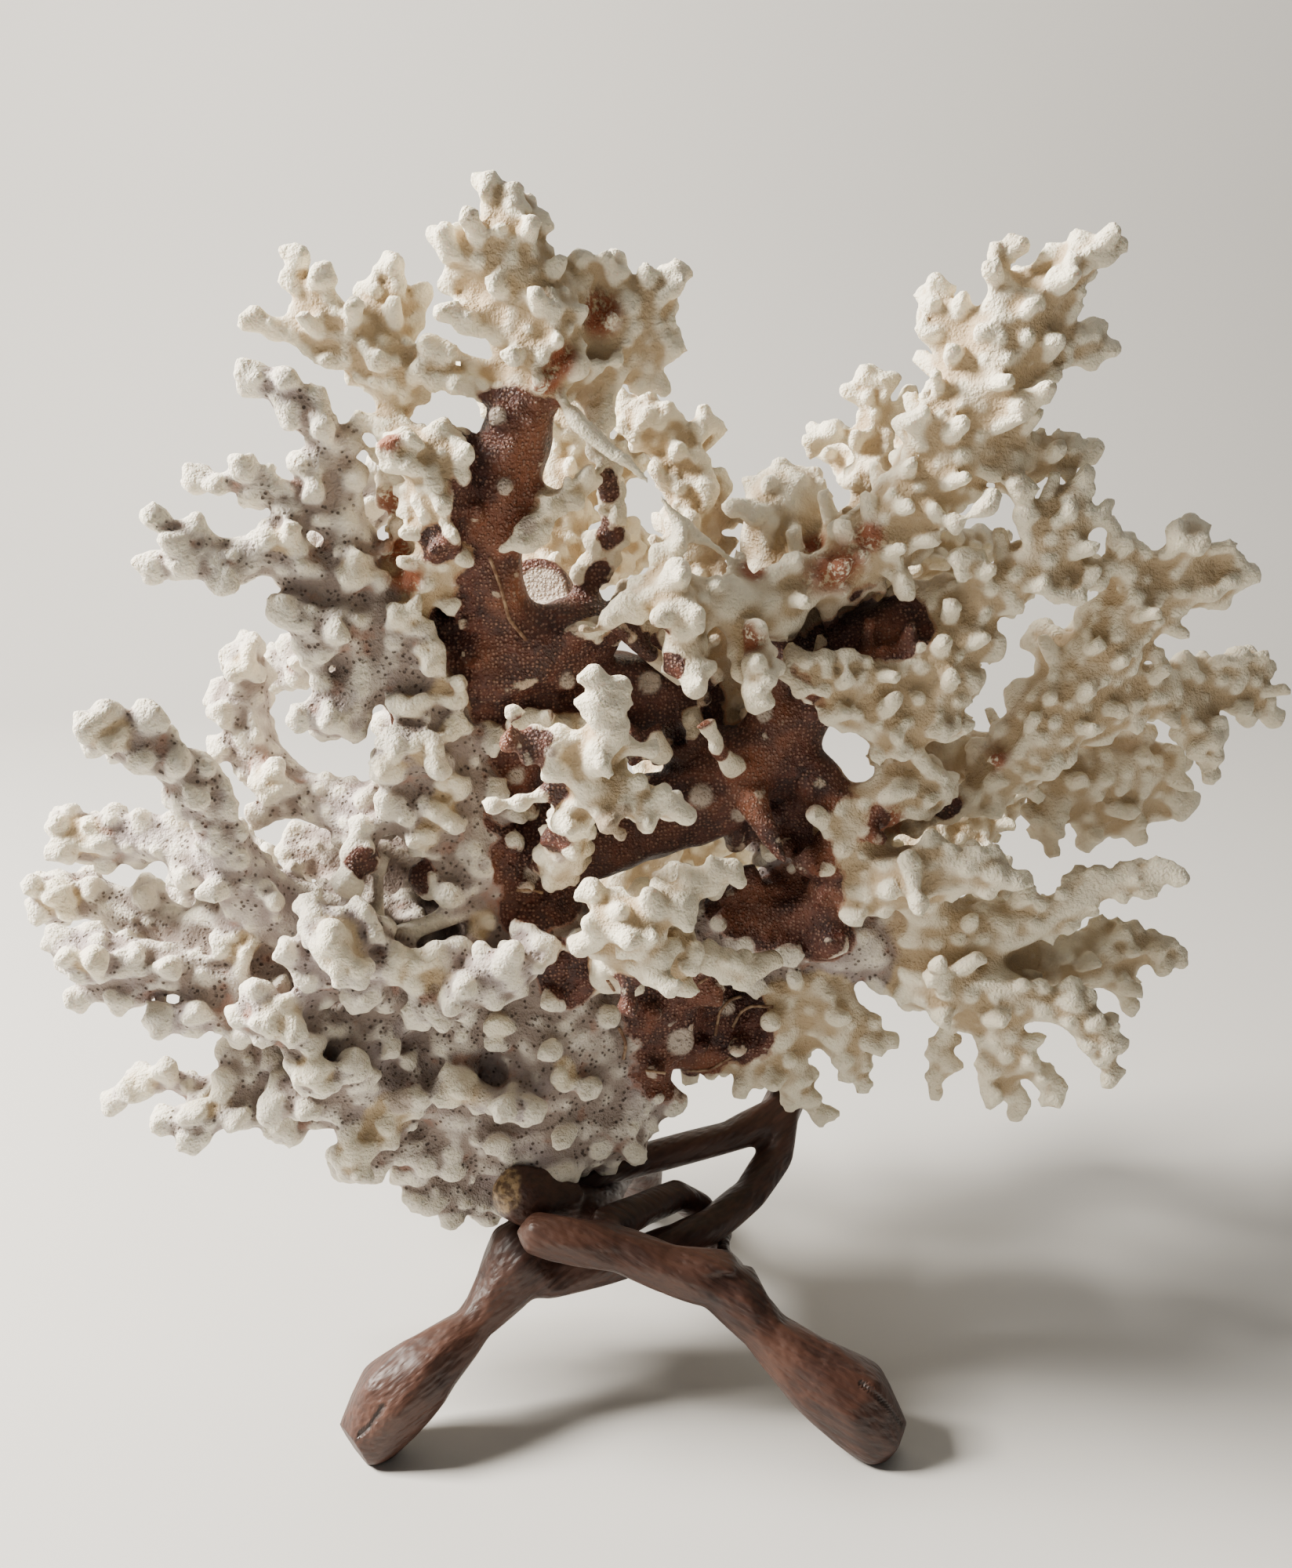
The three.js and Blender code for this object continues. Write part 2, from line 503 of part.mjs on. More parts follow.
    [[68, -35, -15, 2.4], [69, -27, -13, 3], [67, -19, -8, 4]],
    [
      [66, -36, 7, 8], [80, -37, 5, 8.4], [94, -36, 4, 7.6], [106, -32, 2, 6.4], [116, -26, 0, 4.8],
      [127, -24, -2, 4.8], [137, -22, -4, 3.6],
    ],
    [[66, -26, 0, 7], [74, -34, 4, 7]],
    [[46, -22, 2, 7], [53, -10, 2, 8], [64, -2, 3, 8], [76, 1, 5, 6]],
    [[84, -42, 9, 7], [97, -45, 12, 8.4], [111, -45, 14, 8.4], [124, -41, 16, 6], [136, -44, 16, 3.6]],
    [[125, -58, 14, 2.4], [121, -50, 14, 5.4], [110, -46, 14, 7]],
  ],
  coral_hand_lower_right: [
    [
      [66, -50, 6, 7], [76, -52, 2, 8.4], [86, -53, -1, 8], [98, -54, -4, 5.8], [110, -58, -6, 6.6],
      [118, -67, -8, 5.6], [119, -76, -8, 2.4],
    ],
    [[84, -52, 0, 7], [90, -62, -2, 7.6], [89, -74, -2, 4.8], [88, -82, -2, 3.2]],
    [[95, -86, 3, 2.4], [93, -77, 2, 3.8], [90, -64, 0, 6.6]],
    [[105, -81, -6, 2.8], [99, -73, -4, 4.2], [91, -64, -2, 6.6]],
    [[78, -54, 3, 6], [76, -62, 4, 4.4], [75, -71, 4, 3.8], [74, -80, 4, 2.4]],
    [[73, -46, -13, 2.4], [77, -51, -4, 5]],
  ],
  coral_lobes_bottom: [
    [[36, -52, 12, 9], [33, -64, 11, 9], [30, -71, 9, 7.4], [23, -79, 8, 2.8]],
    [[34, -66, 10, 7.6], [39, -78, 10, 5], [45, -86, 10, 2.4]],
    [[40, -50, 10, 8], [48, -58, 8, 8.4], [52, -67, 8, 7], [56, -78, 8, 2.6]],
    [[64, -66, 3, 2.8], [52, -60, 7, 6]],
    [[2, -65, 16, 8], [20, -67, 17, 9], [38, -62, 12, 9]],
  ],
  coral_antlers_front: [
    [[-22, -22, -8, 7], [-20, -13, -20, 6.4], [-16, -5, -30, 5.8], [-12, 2, -37, 5.6], [-10, 9, -43, 5.6]],
    [
      [-41, 13, -53, 2], [-35, 12, -51, 4.2], [-25, 10, -47, 5.4], [-15, 7.5, -44, 5.8], [-7, 11, -44, 5.4],
      [1, 8, -46, 4.2], [5, 11, -48, 1.8],
    ],
    [[-40, 6, -55, 2.2], [-33, 11, -50, 4]],
    [[-34, 20, -52, 2.4], [-31, 11, -49, 4.2]],
    [[2.6, 4.6, -50, 1.7], [-1, 8.6, -46, 4]],
    [[-5, 24, -47, 2.2], [-10, 18, -45, 4.2], [-10, 9, -43, 5]],
    [[-15, 20, -50, 2.2], [-12, 13, -45, 4]],
    [[-24, 2.6, -43, 4], [-14, -1, -38, 5.4], [-5, -4, -38, 4.8], [3, -6, -40, 3.8], [10.5, -9.6, -42, 2]],
    [[-9, -12, -45, 1.7], [-8, -4, -39, 4]],
    [[-1, -11, -45, 1.7], [-1, -5, -39, 4]],
    [[-41, -6, -46, 2.8], [-29, -4, -43, 2.5], [-19, -1, -39, 4.4]],
    [[-24, -11, -40, 2.8], [-12, -5, -36, 4.4]],
  ],
  coral_star_front: [
    [[-8, -48, -6, 9], [-6, -45, -17, 7.4], [-5, -42, -26, 6.4]],
    [[-16, -26, -33, 1.8], [-11, -30, -31, 3], [-6, -38, -27, 5.4]],
    [[-8, -25, -29, 1.8], [-5, -36, -27, 4.8]],
    [[4, -37, -34, 2.8], [-4, -40, -28, 4.8]],
    [[-19, -40, -29, 2.4], [-6, -43, -26, 5.6]],
    [[14, -43, -29, 2.8], [4, -44, -25, 5], [-4, -43, -25, 6]],
    [[12, -54, -27, 2.8], [1, -45, -25, 5]],
    [[-4, -59, -27, 2.6], [-5, -46, -25, 5]],
    [[21, -24, -10, 3.8], [9, -25, -12, 5.6], [1, -32, -15, 6], [-5, -43, -19, 6]],
    [[34, -45, -9, 3.8], [25, -47, -14, 5.2], [15, -45, -19, 4.6], [4, -45, -22, 5]],
  ],
  coral_back_low_left: [
    [
      [-40, -54, 26, 10], [-60, -48, 44, 10], [-82, -38, 60, 9], [-100, -26, 74, 7.6], [-110, -12, 84, 5.6],
      [-115, 0, 88, 3],
    ],
    [[-82, -39, 60, 8], [-96, -48, 76, 6], [-104, -57, 86, 3.4]],
    [[-98, -28, 72, 7], [-115, -31, 70, 5], [-127, -28, 68, 3]],
    [[-60, -48, 44, 8], [-62, -60, 62, 6.4], [-70, -68, 76, 3.6]],
  ],
  coral_back_high_left: [
    [
      [-54, 8, 14, 8], [-60, 22, 32, 8], [-70, 40, 46, 8], [-79, 58, 58, 7], [-83, 74, 64, 5],
      [-83, 86, 67, 3],
    ],
    [[-70, 39, 46, 7], [-84, 34, 62, 6], [-97, 28, 70, 3.4]],
    [[-80, 58, 58, 7], [-70, 74, 70, 5.4], [-66, 86, 76, 3]],
    [[-62, 26, 34, 7], [-54, 36, 54, 6], [-48, 42, 68, 3.4]],
  ],
  coral_back_high_middle: [
    [
      [-30, 34, 18, 8], [-26, 52, 34, 8.6], [-22, 72, 50, 9], [-20, 92, 60, 8.6], [-22, 110, 64, 7],
      [-26, 123, 66, 3.6],
    ],
    [[-22, 72, 50, 8], [-6, 84, 64, 6.4], [5, 95, 74, 3.4]],
    [[-20, 92, 60, 8], [-38, 100, 70, 6], [-49, 107, 76, 3.4]],
    [[-26, 54, 36, 7], [-8, 58, 54, 6], [2, 62, 66, 3.4]],
  ],
  coral_back_low_middle: [
    [
      [-20, -54, 40, 11], [-12, -42, 60, 10.4], [-3, -26, 78, 10], [3, -10, 94, 8.6], [6, 5, 104, 6.4],
      [6, 15, 110, 3.4],
    ],
    [[-4, -27, 78, 9], [-20, -18, 94, 7], [-30, -10, 106, 3.8]],
    [[3, -12, 92, 8], [20, -20, 104, 6], [31, -26, 112, 3.4]],
    [[-10, -40, 62, 8], [-30, -44, 80, 6.4], [-42, -46, 92, 3.6]],
  ],
  coral_back_low_right: [
    [
      [34, -36, 24, 9], [46, -31, 44, 9.4], [61, -24, 62, 9.6], [78, -14, 76, 8.6], [91, -3, 84, 6.4],
      [100, 8, 88, 3.4],
    ],
    [[61, -24, 62, 8], [66, -41, 78, 6.6], [70, -54, 88, 3.8]],
    [[78, -14, 76, 8], [89, -27, 90, 6], [98, -34, 98, 3.4]],
    [[46, -31, 46, 8], [34, -40, 66, 6.4], [28, -48, 80, 3.6]],
  ],
  coral_back_high_right: [
    [
      [40, 24, 22, 8], [48, 40, 38, 8.6], [58, 56, 52, 9], [66, 74, 62, 8.6], [72, 92, 68, 6.4],
      [77, 105, 70, 3.4],
    ],
    [[58, 56, 52, 8], [76, 58, 66, 6.4], [89, 62, 74, 3.4]],
    [[66, 74, 62, 8], [52, 84, 74, 6], [43, 90, 80, 3.4]],
    [[48, 42, 40, 7], [34, 44, 60, 6], [26, 48, 74, 3.4]],
  ],
};

const CORAL_DEPTH = 0.85;
const LEG_DEPTH = 1;
const FLOOR_BLOCK = [400, 400, 40];

const greyParts = ["coral_base", "coral_trunk_left", "coral_hand_upper_left", "coral_twig_left",
  "coral_hand_left", "coral_hand_lower_left", "coral_fingers_bottom_left", "coral_back_low_left",
  "coral_back_high_left"];
const brownParts = ["coral_trunk_middle", "coral_trunk_right"];

function coralFinish(name) {
  if (greyParts.includes(name)) return CORAL_GREY;
  return brownParts.includes(name) ? CORAL_BROWN : CORAL_CREAM;
}

const part = new THREE.Group();
// What is already there, with the air around it, is cut from each piece that comes after.
const taken = [];

// The feet are cut flat where they stand on the floor.
const floor = blockSolid(FLOOR_BLOCK, [0, 0, -FLOOR_BLOCK[2] / 2]);
for (const [name, limbs] of Object.entries(standLegs)) {
  const carved = tidied(joined(limbs, placed, 0, LEG_DEPTH));
  let leg = carved.subtract(floor);
  for (const other of taken) leg = leg.subtract(other);
  part.add(meshOf(name, largest(leg), LEG_WOOD));
  taken.push(joined(limbs, placed, AIR, LEG_DEPTH).add(carved));
}

for (const [name, limbs] of Object.entries(coralParts)) {
  const grown = tidied(joined(limbs, seen, 0, CORAL_DEPTH));
  let piece = grown;
  for (const other of taken) piece = piece.subtract(other);
  part.add(meshOf(name, largest(piece), coralFinish(name)));
  taken.push(joined(limbs, seen, AIR, CORAL_DEPTH).add(grown));
}

// The origin is under the middle of the whole, on the floor.
const box = new THREE.Box3().setFromObject(part);
const middle = box.getCenter(new THREE.Vector3());
part.position.set(-middle.x, -middle.y, 0);

export default part;
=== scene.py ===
import json
import math
import random

import bmesh
import bpy
import numpy as np
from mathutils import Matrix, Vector, bvhtree, kdtree, noise


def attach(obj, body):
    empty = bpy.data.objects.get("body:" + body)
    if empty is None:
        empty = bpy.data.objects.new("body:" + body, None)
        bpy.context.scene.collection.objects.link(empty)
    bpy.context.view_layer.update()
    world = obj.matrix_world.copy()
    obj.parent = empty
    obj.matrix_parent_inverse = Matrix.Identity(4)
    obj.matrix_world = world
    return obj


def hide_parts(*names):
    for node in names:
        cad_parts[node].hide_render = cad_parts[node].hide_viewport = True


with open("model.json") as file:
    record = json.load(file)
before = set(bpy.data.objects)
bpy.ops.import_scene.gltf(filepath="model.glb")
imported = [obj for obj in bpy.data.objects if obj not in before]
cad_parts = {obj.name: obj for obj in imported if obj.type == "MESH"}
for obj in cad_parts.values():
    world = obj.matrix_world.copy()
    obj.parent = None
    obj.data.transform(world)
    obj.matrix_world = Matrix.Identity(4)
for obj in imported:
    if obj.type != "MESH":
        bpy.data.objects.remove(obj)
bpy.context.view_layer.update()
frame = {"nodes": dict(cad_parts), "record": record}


# The stand's legs. Each of the three is one stick of red-brown hardwood, carved by hand with a foot, a
# thin ankle, a shoulder and a long eye, then oiled. They hold each other through their eyes, unfixed.
# Sizes are in metres. Where MM stands before a small one, it is given in millimetres.
MM = 0.001


def cad_copy(names, grow):
    """A new mesh of these nodes' faces, welded, and pushed out by grow so that parted neighbours meet."""
    shape = bmesh.new()
    for name in names:
        shape.from_mesh(frame["nodes"][name].data)
    bmesh.ops.remove_doubles(shape, verts=shape.verts, dist=1e-6)
    shape.normal_update()
    for corner in shape.verts:
        corner.co += corner.normal * grow
    mesh = bpy.data.meshes.new("shape")
    shape.to_mesh(mesh)
    shape.free()
    return mesh


def skinned(mesh, grain, passes):
    """One closed skin round everything in mesh, of squares as wide as grain, smoothed passes times."""
    rough = bpy.data.objects.new("rough", mesh)
    bpy.context.collection.objects.link(rough)
    skin = rough.modifiers.new("skin", "REMESH")
    skin.mode = "VOXEL"
    skin.voxel_size = grain
    soft = rough.modifiers.new("soft", "SMOOTH")
    soft.factor = 0.5
    soft.iterations = passes
    graph = bpy.context.evaluated_depsgraph_get()
    done = bpy.data.meshes.new_from_object(rough.evaluated_get(graph))
    bpy.data.objects.remove(rough)
    return done


def shown(name, mesh, material, slot_name, *nodes):
    """A smooth piece of the object, in place of those CAD nodes."""
    mesh.materials.clear()
    mesh.materials.append(material)
    mesh.polygons.foreach_set("use_smooth", np.ones(len(mesh.polygons), bool))
    piece = bpy.data.objects.new(name, mesh)
    bpy.context.collection.objects.link(piece)
    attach(piece, "root")
    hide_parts(*nodes)


def read_out(items, field, width=1, kind=np.int32):
    """One field of every point, face or corner of a mesh, width numbers each, in one row."""
    row = np.empty(len(items) * width, kind)
    items.foreach_get(field, row)
    return row


def points_of(mesh):
    return read_out(mesh.vertices, "co", 3, np.float32).reshape(-1, 3)


def normals_of(mesh):
    return read_out(mesh.vertex_normals, "vector", 3, np.float32).reshape(-1, 3)


def move_points(mesh, points):
    mesh.vertices.foreach_set("co", points.astype(np.float32).ravel())


def view_of(mesh, points):
    """The faces of a mesh whose points are these, as a shape that a line of sight can meet."""
    return bvhtree.BVHTree.FromPolygons(
        [tuple(p) for p in points], [tuple(f.vertices) for f in mesh.polygons])


def keep_value(mesh, name, values):
    layer = mesh.attributes.new(name, "FLOAT", "POINT")
    layer.data.foreach_set("value", np.asarray(values, np.float32))


# A measured place is [right, up] in millimetres on a picture plane that stands PLANE in front of this
# eye, square to its line of sight, which dips by PITCH.
EYE = Vector((-0.00368, -0.45232, 0.299))
PITCH = math.radians(16.8)
PLANE = 0.436


def sight(right, up):
    ahead = Vector((0, math.cos(PITCH), -math.sin(PITCH)))
    above = Vector((0, math.sin(PITCH), math.cos(PITCH)))
    return Vector((right * MM, 0, 0)) + above * (up * MM) + ahead * PLANE


class Nodes:
    """Short ways to add shader nodes to one tree."""

    def __init__(self, tree):
        self.tree = tree

    def add(self, kind, sockets=(), **settings):
        made = self.tree.nodes.new(kind)
        for key, value in settings.items():
            setattr(made, key, value)
        for key, value in dict(sockets).items():
            self.put(made.inputs[key], value)
        return made

    def put(self, socket, value):
        if isinstance(value, bpy.types.NodeSocket):
            self.tree.links.new(value, socket)
        else:
            socket.default_value = value

    def math(self, operation, *values):
        made = self.add("ShaderNodeMath", operation=operation)
        for place, value in enumerate(values):
            self.put(made.inputs[place], value)
        return made.outputs[0]

    def step(self, value, low, high):
        made = self.add("ShaderNodeMapRange", interpolation_type="SMOOTHSTEP")
        self.put(made.inputs["Value"], value)
        self.put(made.inputs["From Min"], low)
        self.put(made.inputs["From Max"], high)
        return made.outputs["Result"]

    def mix(self, share, one, two):
        made = self.add("ShaderNodeMix", data_type="RGBA")
        self.put(made.inputs[0], share)
        self.put(made.inputs[6], one)
        self.put(made.inputs[7], two)
        return made.outputs[2]

    def noise(self, vector, scale, detail):
        made = self.add("ShaderNodeTexNoise", {"Scale": scale, "Detail": detail, "Vector": vector})
        return made.outputs["Fac"]

    def mottled(self, place, scale, detail, low, high):
        """A mottling of its own: the noise, and the share of the second colour."""
        made = self.tree.nodes.new("ShaderNodeGroup")
        made.node_tree = mottling
        wanted = {"Place": place, "Scale": scale, "Detail": detail, "Low": low, "High": high}
        for key, value in wanted.items():
            self.put(made.inputs[key], value)
        return made.outputs["Noise"], made.outputs["Share"]

    def attribute(self, name):
        return self.add("ShaderNodeAttribute", attribute_name=name).outputs["Fac"]


def new_finish(name):
    """A new material, with its nodes and its surface shader."""
    material = bpy.data.materials.new(name)
    material.use_nodes = True
    return material, Nodes(material.node_tree), material.node_tree.nodes["Principled BSDF"]


# Mottling: a cloudy noise, and the share of a second colour where it rises from Low to High. The wood,
# the coral and the worms' lime are each mottled with values of their own.
mottling = bpy.data.node_groups.new("mottling", "ShaderNodeTree")
mottling.interface.new_socket("Place", in_out="INPUT", socket_type="NodeSocketVector")
for label in ("Scale", "Detail", "Low", "High"):
    mottling.interface.new_socket(label, in_out="INPUT", socket_type="NodeSocketFloat")
for label in ("Noise", "Share"):
    mottling.interface.new_socket(label, in_out="OUTPUT", socket_type="NodeSocketFloat")
n = Nodes(mottling)
given = n.add("NodeGroupInput").outputs
cloudy = n.noise(given["Place"], given["Scale"], given["Detail"])
risen = n.step(cloudy, given["Low"], given["High"])
n.add("NodeGroupOutput", {"Noise": cloudy, "Share": risen})

wood, n, oiled = new_finish("carved wood")
along = n.add("ShaderNodeAttribute", attribute_name="along").outputs["Vector"]
place = n.add("ShaderNodeTexCoord").outputs["Object"]
drawn_out = n.add("ShaderNodeMapping", {"Vector": along, "Scale": (60, 700, 700)}).outputs[0]
streaks = n.noise(drawn_out, 1.0, 5.0)
clouds, cloudiness = n.mottled(place, 55.0, 3.0, 0.4, 0.75)
crack = n.attribute("crack")
raw_end = n.attribute("raw_end")
wood_colour = n.mix(n.step(streaks, 0.3, 0.75), (0.026, 0.010, 0.007, 1), (0.064, 0.024, 0.014, 1))
wood_colour = n.mix(n.math("MULTIPLY", cloudiness, 0.55), wood_colour, (0.098, 0.040, 0.023, 1))
_, shredded = n.mottled(place, 600.0, 4.0, 0.4, 0.6)
torn = n.mix(shredded, (0.10, 0.055, 0.026, 1), (0.33, 0.22, 0.11, 1))
torn_off = n.step(n.math("ADD", raw_end, n.math("MULTIPLY", clouds, 0.4)), 0.4, 0.6)
wood_colour = n.mix(torn_off, wood_colour, torn)
wood_colour = n.mix(crack, wood_colour, (0.008, 0.004, 0.003, 1))
n.put(oiled.inputs["Base Color"], wood_colour)
n.put(oiled.inputs["Roughness"], n.math("ADD", n.math("MULTIPLY", streaks, 0.2), 0.4))
knife_marks = n.add("ShaderNodeMapping", {"Vector": along, "Scale": (380, 760, 760)}).outputs[0]
cuts = n.add("ShaderNodeTexVoronoi", {"Vector": knife_marks, "Scale": 1.0}, feature="SMOOTH_F1")
relief = n.math("ADD", n.math("MULTIPLY", cuts.outputs["Distance"], 0.6), n.math("MULTIPLY", streaks, 0.5))
relief = n.math("SUBTRACT", relief, n.math("MULTIPLY", crack, 1.6))
bump = n.add("ShaderNodeBump", {"Strength": 0.8, "Distance": 0.0007, "Height": relief})
n.put(oiled.inputs["Normal"], bump.outputs[0])

LEG_GRAIN = 0.00074
LEG_GROW = 0.0006
LEG_PASSES = 30
# The middle of each leg's foot and of its head.
leg_ends = {
    "leg_left": ((-0.0800, -0.0780, 0.004), (0.0360, 0.0030, 0.060)),
    "leg_right": ((0.0610, -0.0770, 0.004), (-0.0340, -0.0560, 0.056)),
    "leg_back": ((-0.0080, 0.0580, 0.004), (-0.0400, -0.0460, 0.062)),
}
# The splits in the feet, each a run of places across the end that faces the front.
leg_splits = {
    "leg_left": [[(-76, -170), (-73, -166), (-70.5, -164), (-67, -159)]],
    "leg_right": [[(55, -153), (60, -157), (65, -163)], [(60, -151), (65, -155), (68, -158)]],
    "leg_back": [],
}
SPLIT_REACH = 0.0009
# How much is sawn straight off the rounded foot, in metres.
FOOT_CUT = 0.0024
# How each leg swells at its foot and shoulder and narrows at its ankle: the share of its length from
# the foot to the head, and the millimetres added all round.
leg_swell = {
    "leg_left": ([0, 0.06, 0.17, 0.30, 0.42, 0.55, 1], [0.2, 0.9, 1.0, -1.3, 0.6, 0, 0]),
    "leg_right": ([0, 0.08, 0.25, 0.43, 0.58, 0.7, 1], [0.2, 0.9, 1.2, -1.2, 0.5, 0, 0]),
    "leg_back": ([0, 0.08, 0.25, 0.43, 0.58, 0.75, 1], [0.2, 0.9, 1.2, -1.0, 0.3, 0, 1.2]),
}
# The back leg's head is broken off rough, round this place.
RAW_HEAD = Vector((-0.0405, -0.0462, 0.0625))
RAW_REACH = 0.0075
for name, (foot, head) in leg_ends.items():
    leg = skinned(cad_copy([name], LEG_GROW), LEG_GRAIN, LEG_PASSES)
    spots = points_of(leg)
    run = Vector(head) - Vector(foot)
    share = (spots - np.array(foot)) @ np.array(run) / run.length_squared
    spots += normals_of(leg) * (MM * np.interp(share, *leg_swell[name]))[:, None]
    run.normalize()
    reach = spots @ np.array(run)
    spots += np.clip(reach.min() + FOOT_CUT - reach, 0, None)[:, None] * np.array(run)
    spots[:, 2] = np.maximum(spots[:, 2], 0)
    move_points(leg, spots)
    side = run.cross(Vector((0, 0, 1))).normalized()
    over = side.cross(run)
    layer = leg.attributes.new("along", "FLOAT_VECTOR", "POINT")
    turned = np.stack([spots @ np.array(axis) for axis in (run, side, over)], 1)
    layer.data.foreach_set("vector", turned.astype(np.float32).ravel())
    depth = np.zeros(len(spots))
    leg_view = view_of(leg, spots)
    for split in leg_splits[name]:
        found = [leg_view.ray_cast(EYE, sight(*at))[0] for at in split]
        found = [np.array(p) for p in found if p is not None]
        for start, end in zip(found, found[1:]):
            edge = end - start
            part = np.clip((spots - start) @ edge / max(edge @ edge, 1e-12), 0, 1)
            gap = np.linalg.norm(spots - (start + part[:, None] * edge), axis=1)
            depth = np.maximum(depth, np.clip(1 - gap / SPLIT_REACH, 0, 1))
    keep_value(leg, "crack", depth)
    away = np.linalg.norm(spots - np.array(RAW_HEAD), axis=1)
    raw = np.clip(1.5 - 1.5 * away / RAW_REACH, 0, 1) if name == "leg_back" else np.zeros(len(spots))
    keep_value(leg, "raw_end", raw)
    shown(name + "_carved", leg, wood, "leg_wood", name)


# The coral. One stony skeleton that grew upwards and outwards from a base: stems that fork again and
# again, covered in knobs. Its parted CAD pieces are grown together into one skin and knobbed all over.
CORE_GRAIN = 0.0014
CORE_PASSES = 6
SKIN_GRAIN = 0.0011
SKIN_PASSES = 2
JOIN_GROW = 0.0005
coral_nodes = sorted(name for name in frame["nodes"] if name.startswith("coral_"))
rng = np.random.default_rng(7)


def spread_over(mesh, count):
    """count random places on a mesh, by area, with the face normal at each."""
    mesh.calc_loop_triangles()
    corners = read_out(mesh.loop_triangles, "vertices", 3).reshape(-1, 3)
    a, b, c = (points_of(mesh)[corners[:, k]] for k in range(3))
    facing = np.cross(b - a, c - a)
    area = np.linalg.norm(facing, axis=1)
    chosen = rng.choice(len(area), count, p=area / area.sum())
    u, v = rng.random(count), rng.random(count)
    over = u + v > 1
    u[over], v[over] = 1 - u[over], 1 - v[over]
    found = a[chosen] + (b - a)[chosen] * u[:, None] + (c - a)[chosen] * v[:, None]
    return found, facing[chosen] / area[chosen][:, None]


def finder_of(points):
    """A tree that finds the nearest of these points."""
    tree = kdtree.KDTree(len(points))
    for number, point in enumerate(points):
        tree.insert(point, number)
    tree.balance()
    return tree


# Which CAD piece a place belongs to is told by the nearest of these marks, one to each MARK_AREA.
MARK_AREA = 6e-6
marks, mark_owner = [], []
for number, name in enumerate(coral_nodes):
    source = cad_copy([name], 0)
    area = sum(face.area for face in source.polygons)
    found, _ = spread_over(source, int(area / MARK_AREA))
    marks.append(found)
    mark_owner += [number] * len(found)
marks = np.concatenate(marks)
owner_tree = finder_of(marks)


def owners(places):
    return np.array([mark_owner[owner_tree.find(p)[1]] for p in places])


core = skinned(cad_copy(coral_nodes, JOIN_GROW), CORE_GRAIN, CORE_PASSES)
spots, outward = points_of(core), normals_of(core)


class Averager:
    """Moves each point's value towards the mean of its neighbours' on one mesh."""

    OWN_SHARE = 0.4

    def __init__(self, mesh):
        pairs = read_out(mesh.edges, "vertices", 2)
        self.one, self.two = pairs[0::2], pairs[1::2]
        self.size = len(mesh.vertices)
        self.neighbours = np.maximum(np.bincount(pairs, minlength=self.size), 1)

    def once(self, values):
        total = np.bincount(self.one, values[self.two], self.size)
        total += np.bincount(self.two, values[self.one], self.size)
        return self.OWN_SHARE * values + (1 - self.OWN_SHARE) * total / self.neighbours

    def passes(self, values, count):
        values = np.asarray(values, float)
        for _ in range(count):
            values = self.once(values)
        return values


def flattened(mesh, places, count):
    """The places after count rounds of smoothing, kept beside the mesh rather than put in it."""
    averager = Averager(mesh)
    return np.stack([averager.passes(places[:, k], count) for k in range(3)], 1)


# How each kind of part is knobbed: the spacing, the least and greatest radius, the greatest length
# beyond a round knob, in millimetres, and the lean towards the branch's tip.
KNOBS = {
    "rough": (3.7, 1.15, 1.9, 2.0, 0.6),
    "lobed": (5.4, 1.3, 2.3, 1.6, 0.4),
    "fingered": (8.0, 1.2, 1.9, 0.4, 0.2),
    "crusty": (4.0, 0.8, 1.8, 0.6, 0.2),
    "stem": (24.0, 1.0, 2.0, 0.3, 0.1),
    "bare": (30.0, 0.8, 1.0, 0.1, 0.0),
}
# Away from tips and edges a knob is sunk to this share of its size.
SUNK = {"rough": 0.55, "lobed": 0.4, "fingered": 0.3, "crusty": 0.35, "stem": 0.6, "bare": 0.3}
# What the knobs stand on is thinner than the CAD piece by this much, in millimetres.
THINNED = {"rough": 2.0, "lobed": 1.6, "fingered": 1.2, "crusty": 0.8, "stem": 0.6, "bare": 0.2}
# Side shoots: the spacing, the least and greatest radius and the greatest length, in millimetres.
SHOOTS = {"rough": (8.0, 1.8, 2.6, 7.5), "lobed": (12.0, 2.2, 3.0, 7.0), "crusty": (13.0, 2.4, 3.8, 4.0)}
# The least and greatest radius of the bunch of knobs at each tip.
TIPS = {"rough": (2.1, 3.1), "lobed": (2.2, 2.9), "fingered": (2.2, 2.9), "crusty": (3.2, 4.6)}
TIP_SPACING = {"rough": 5.5, "lobed": 6.0, "fingered": 6.0, "crusty": 7.5}
# A tip stands out from the smoothed form by at least this. An edge does so from low to high.
TIP_STANDS = 0.0013
EDGE_LOW, EDGE_HIGH = 0.0003, 0.0011
LOBED = ("hand_right", "hand_lower_right", "lobes_bottom", "fan_lower_right")
FINGERED = ("antlers_front", "star_front", "lobes_middle")
CRUSTY = ("hand_upper_left", "twig_left", "hand_left", "hand_lower_left", "fingers_bottom_left",
          "trunk_left", "back_low_left", "back_high_left", "base")
STEMS = ("trunk_middle", "trunk_right")


def kind_of(name):
    short = name.removeprefix("coral_")
    if short in LOBED:
        return "lobed"
    if short in FINGERED:
        return "fingered"
    if short in CRUSTY:
        return "crusty"
    if short in STEMS:
        return "stem"
    return "bare" if short == "arch" else "rough"


kinds = [kind_of(name) for name in coral_nodes]
core_owner = owners(spots)
CORE_LOOK = 40
flat_spots = flattened(core, spots, CORE_LOOK)
core_edge = np.sum((spots - flat_spots) * outward, 1)
# The CAD pieces' thin spikes are blunted towards the smoothed form, by as much as this share.
BLUNT_FROM, BLUNT_SPAN, BLUNT_MOST = 0.0009, 0.0012, 0.75
blunt = np.clip((core_edge - BLUNT_FROM) / BLUNT_SPAN, 0, BLUNT_MOST)
THIN_PASSES = 10
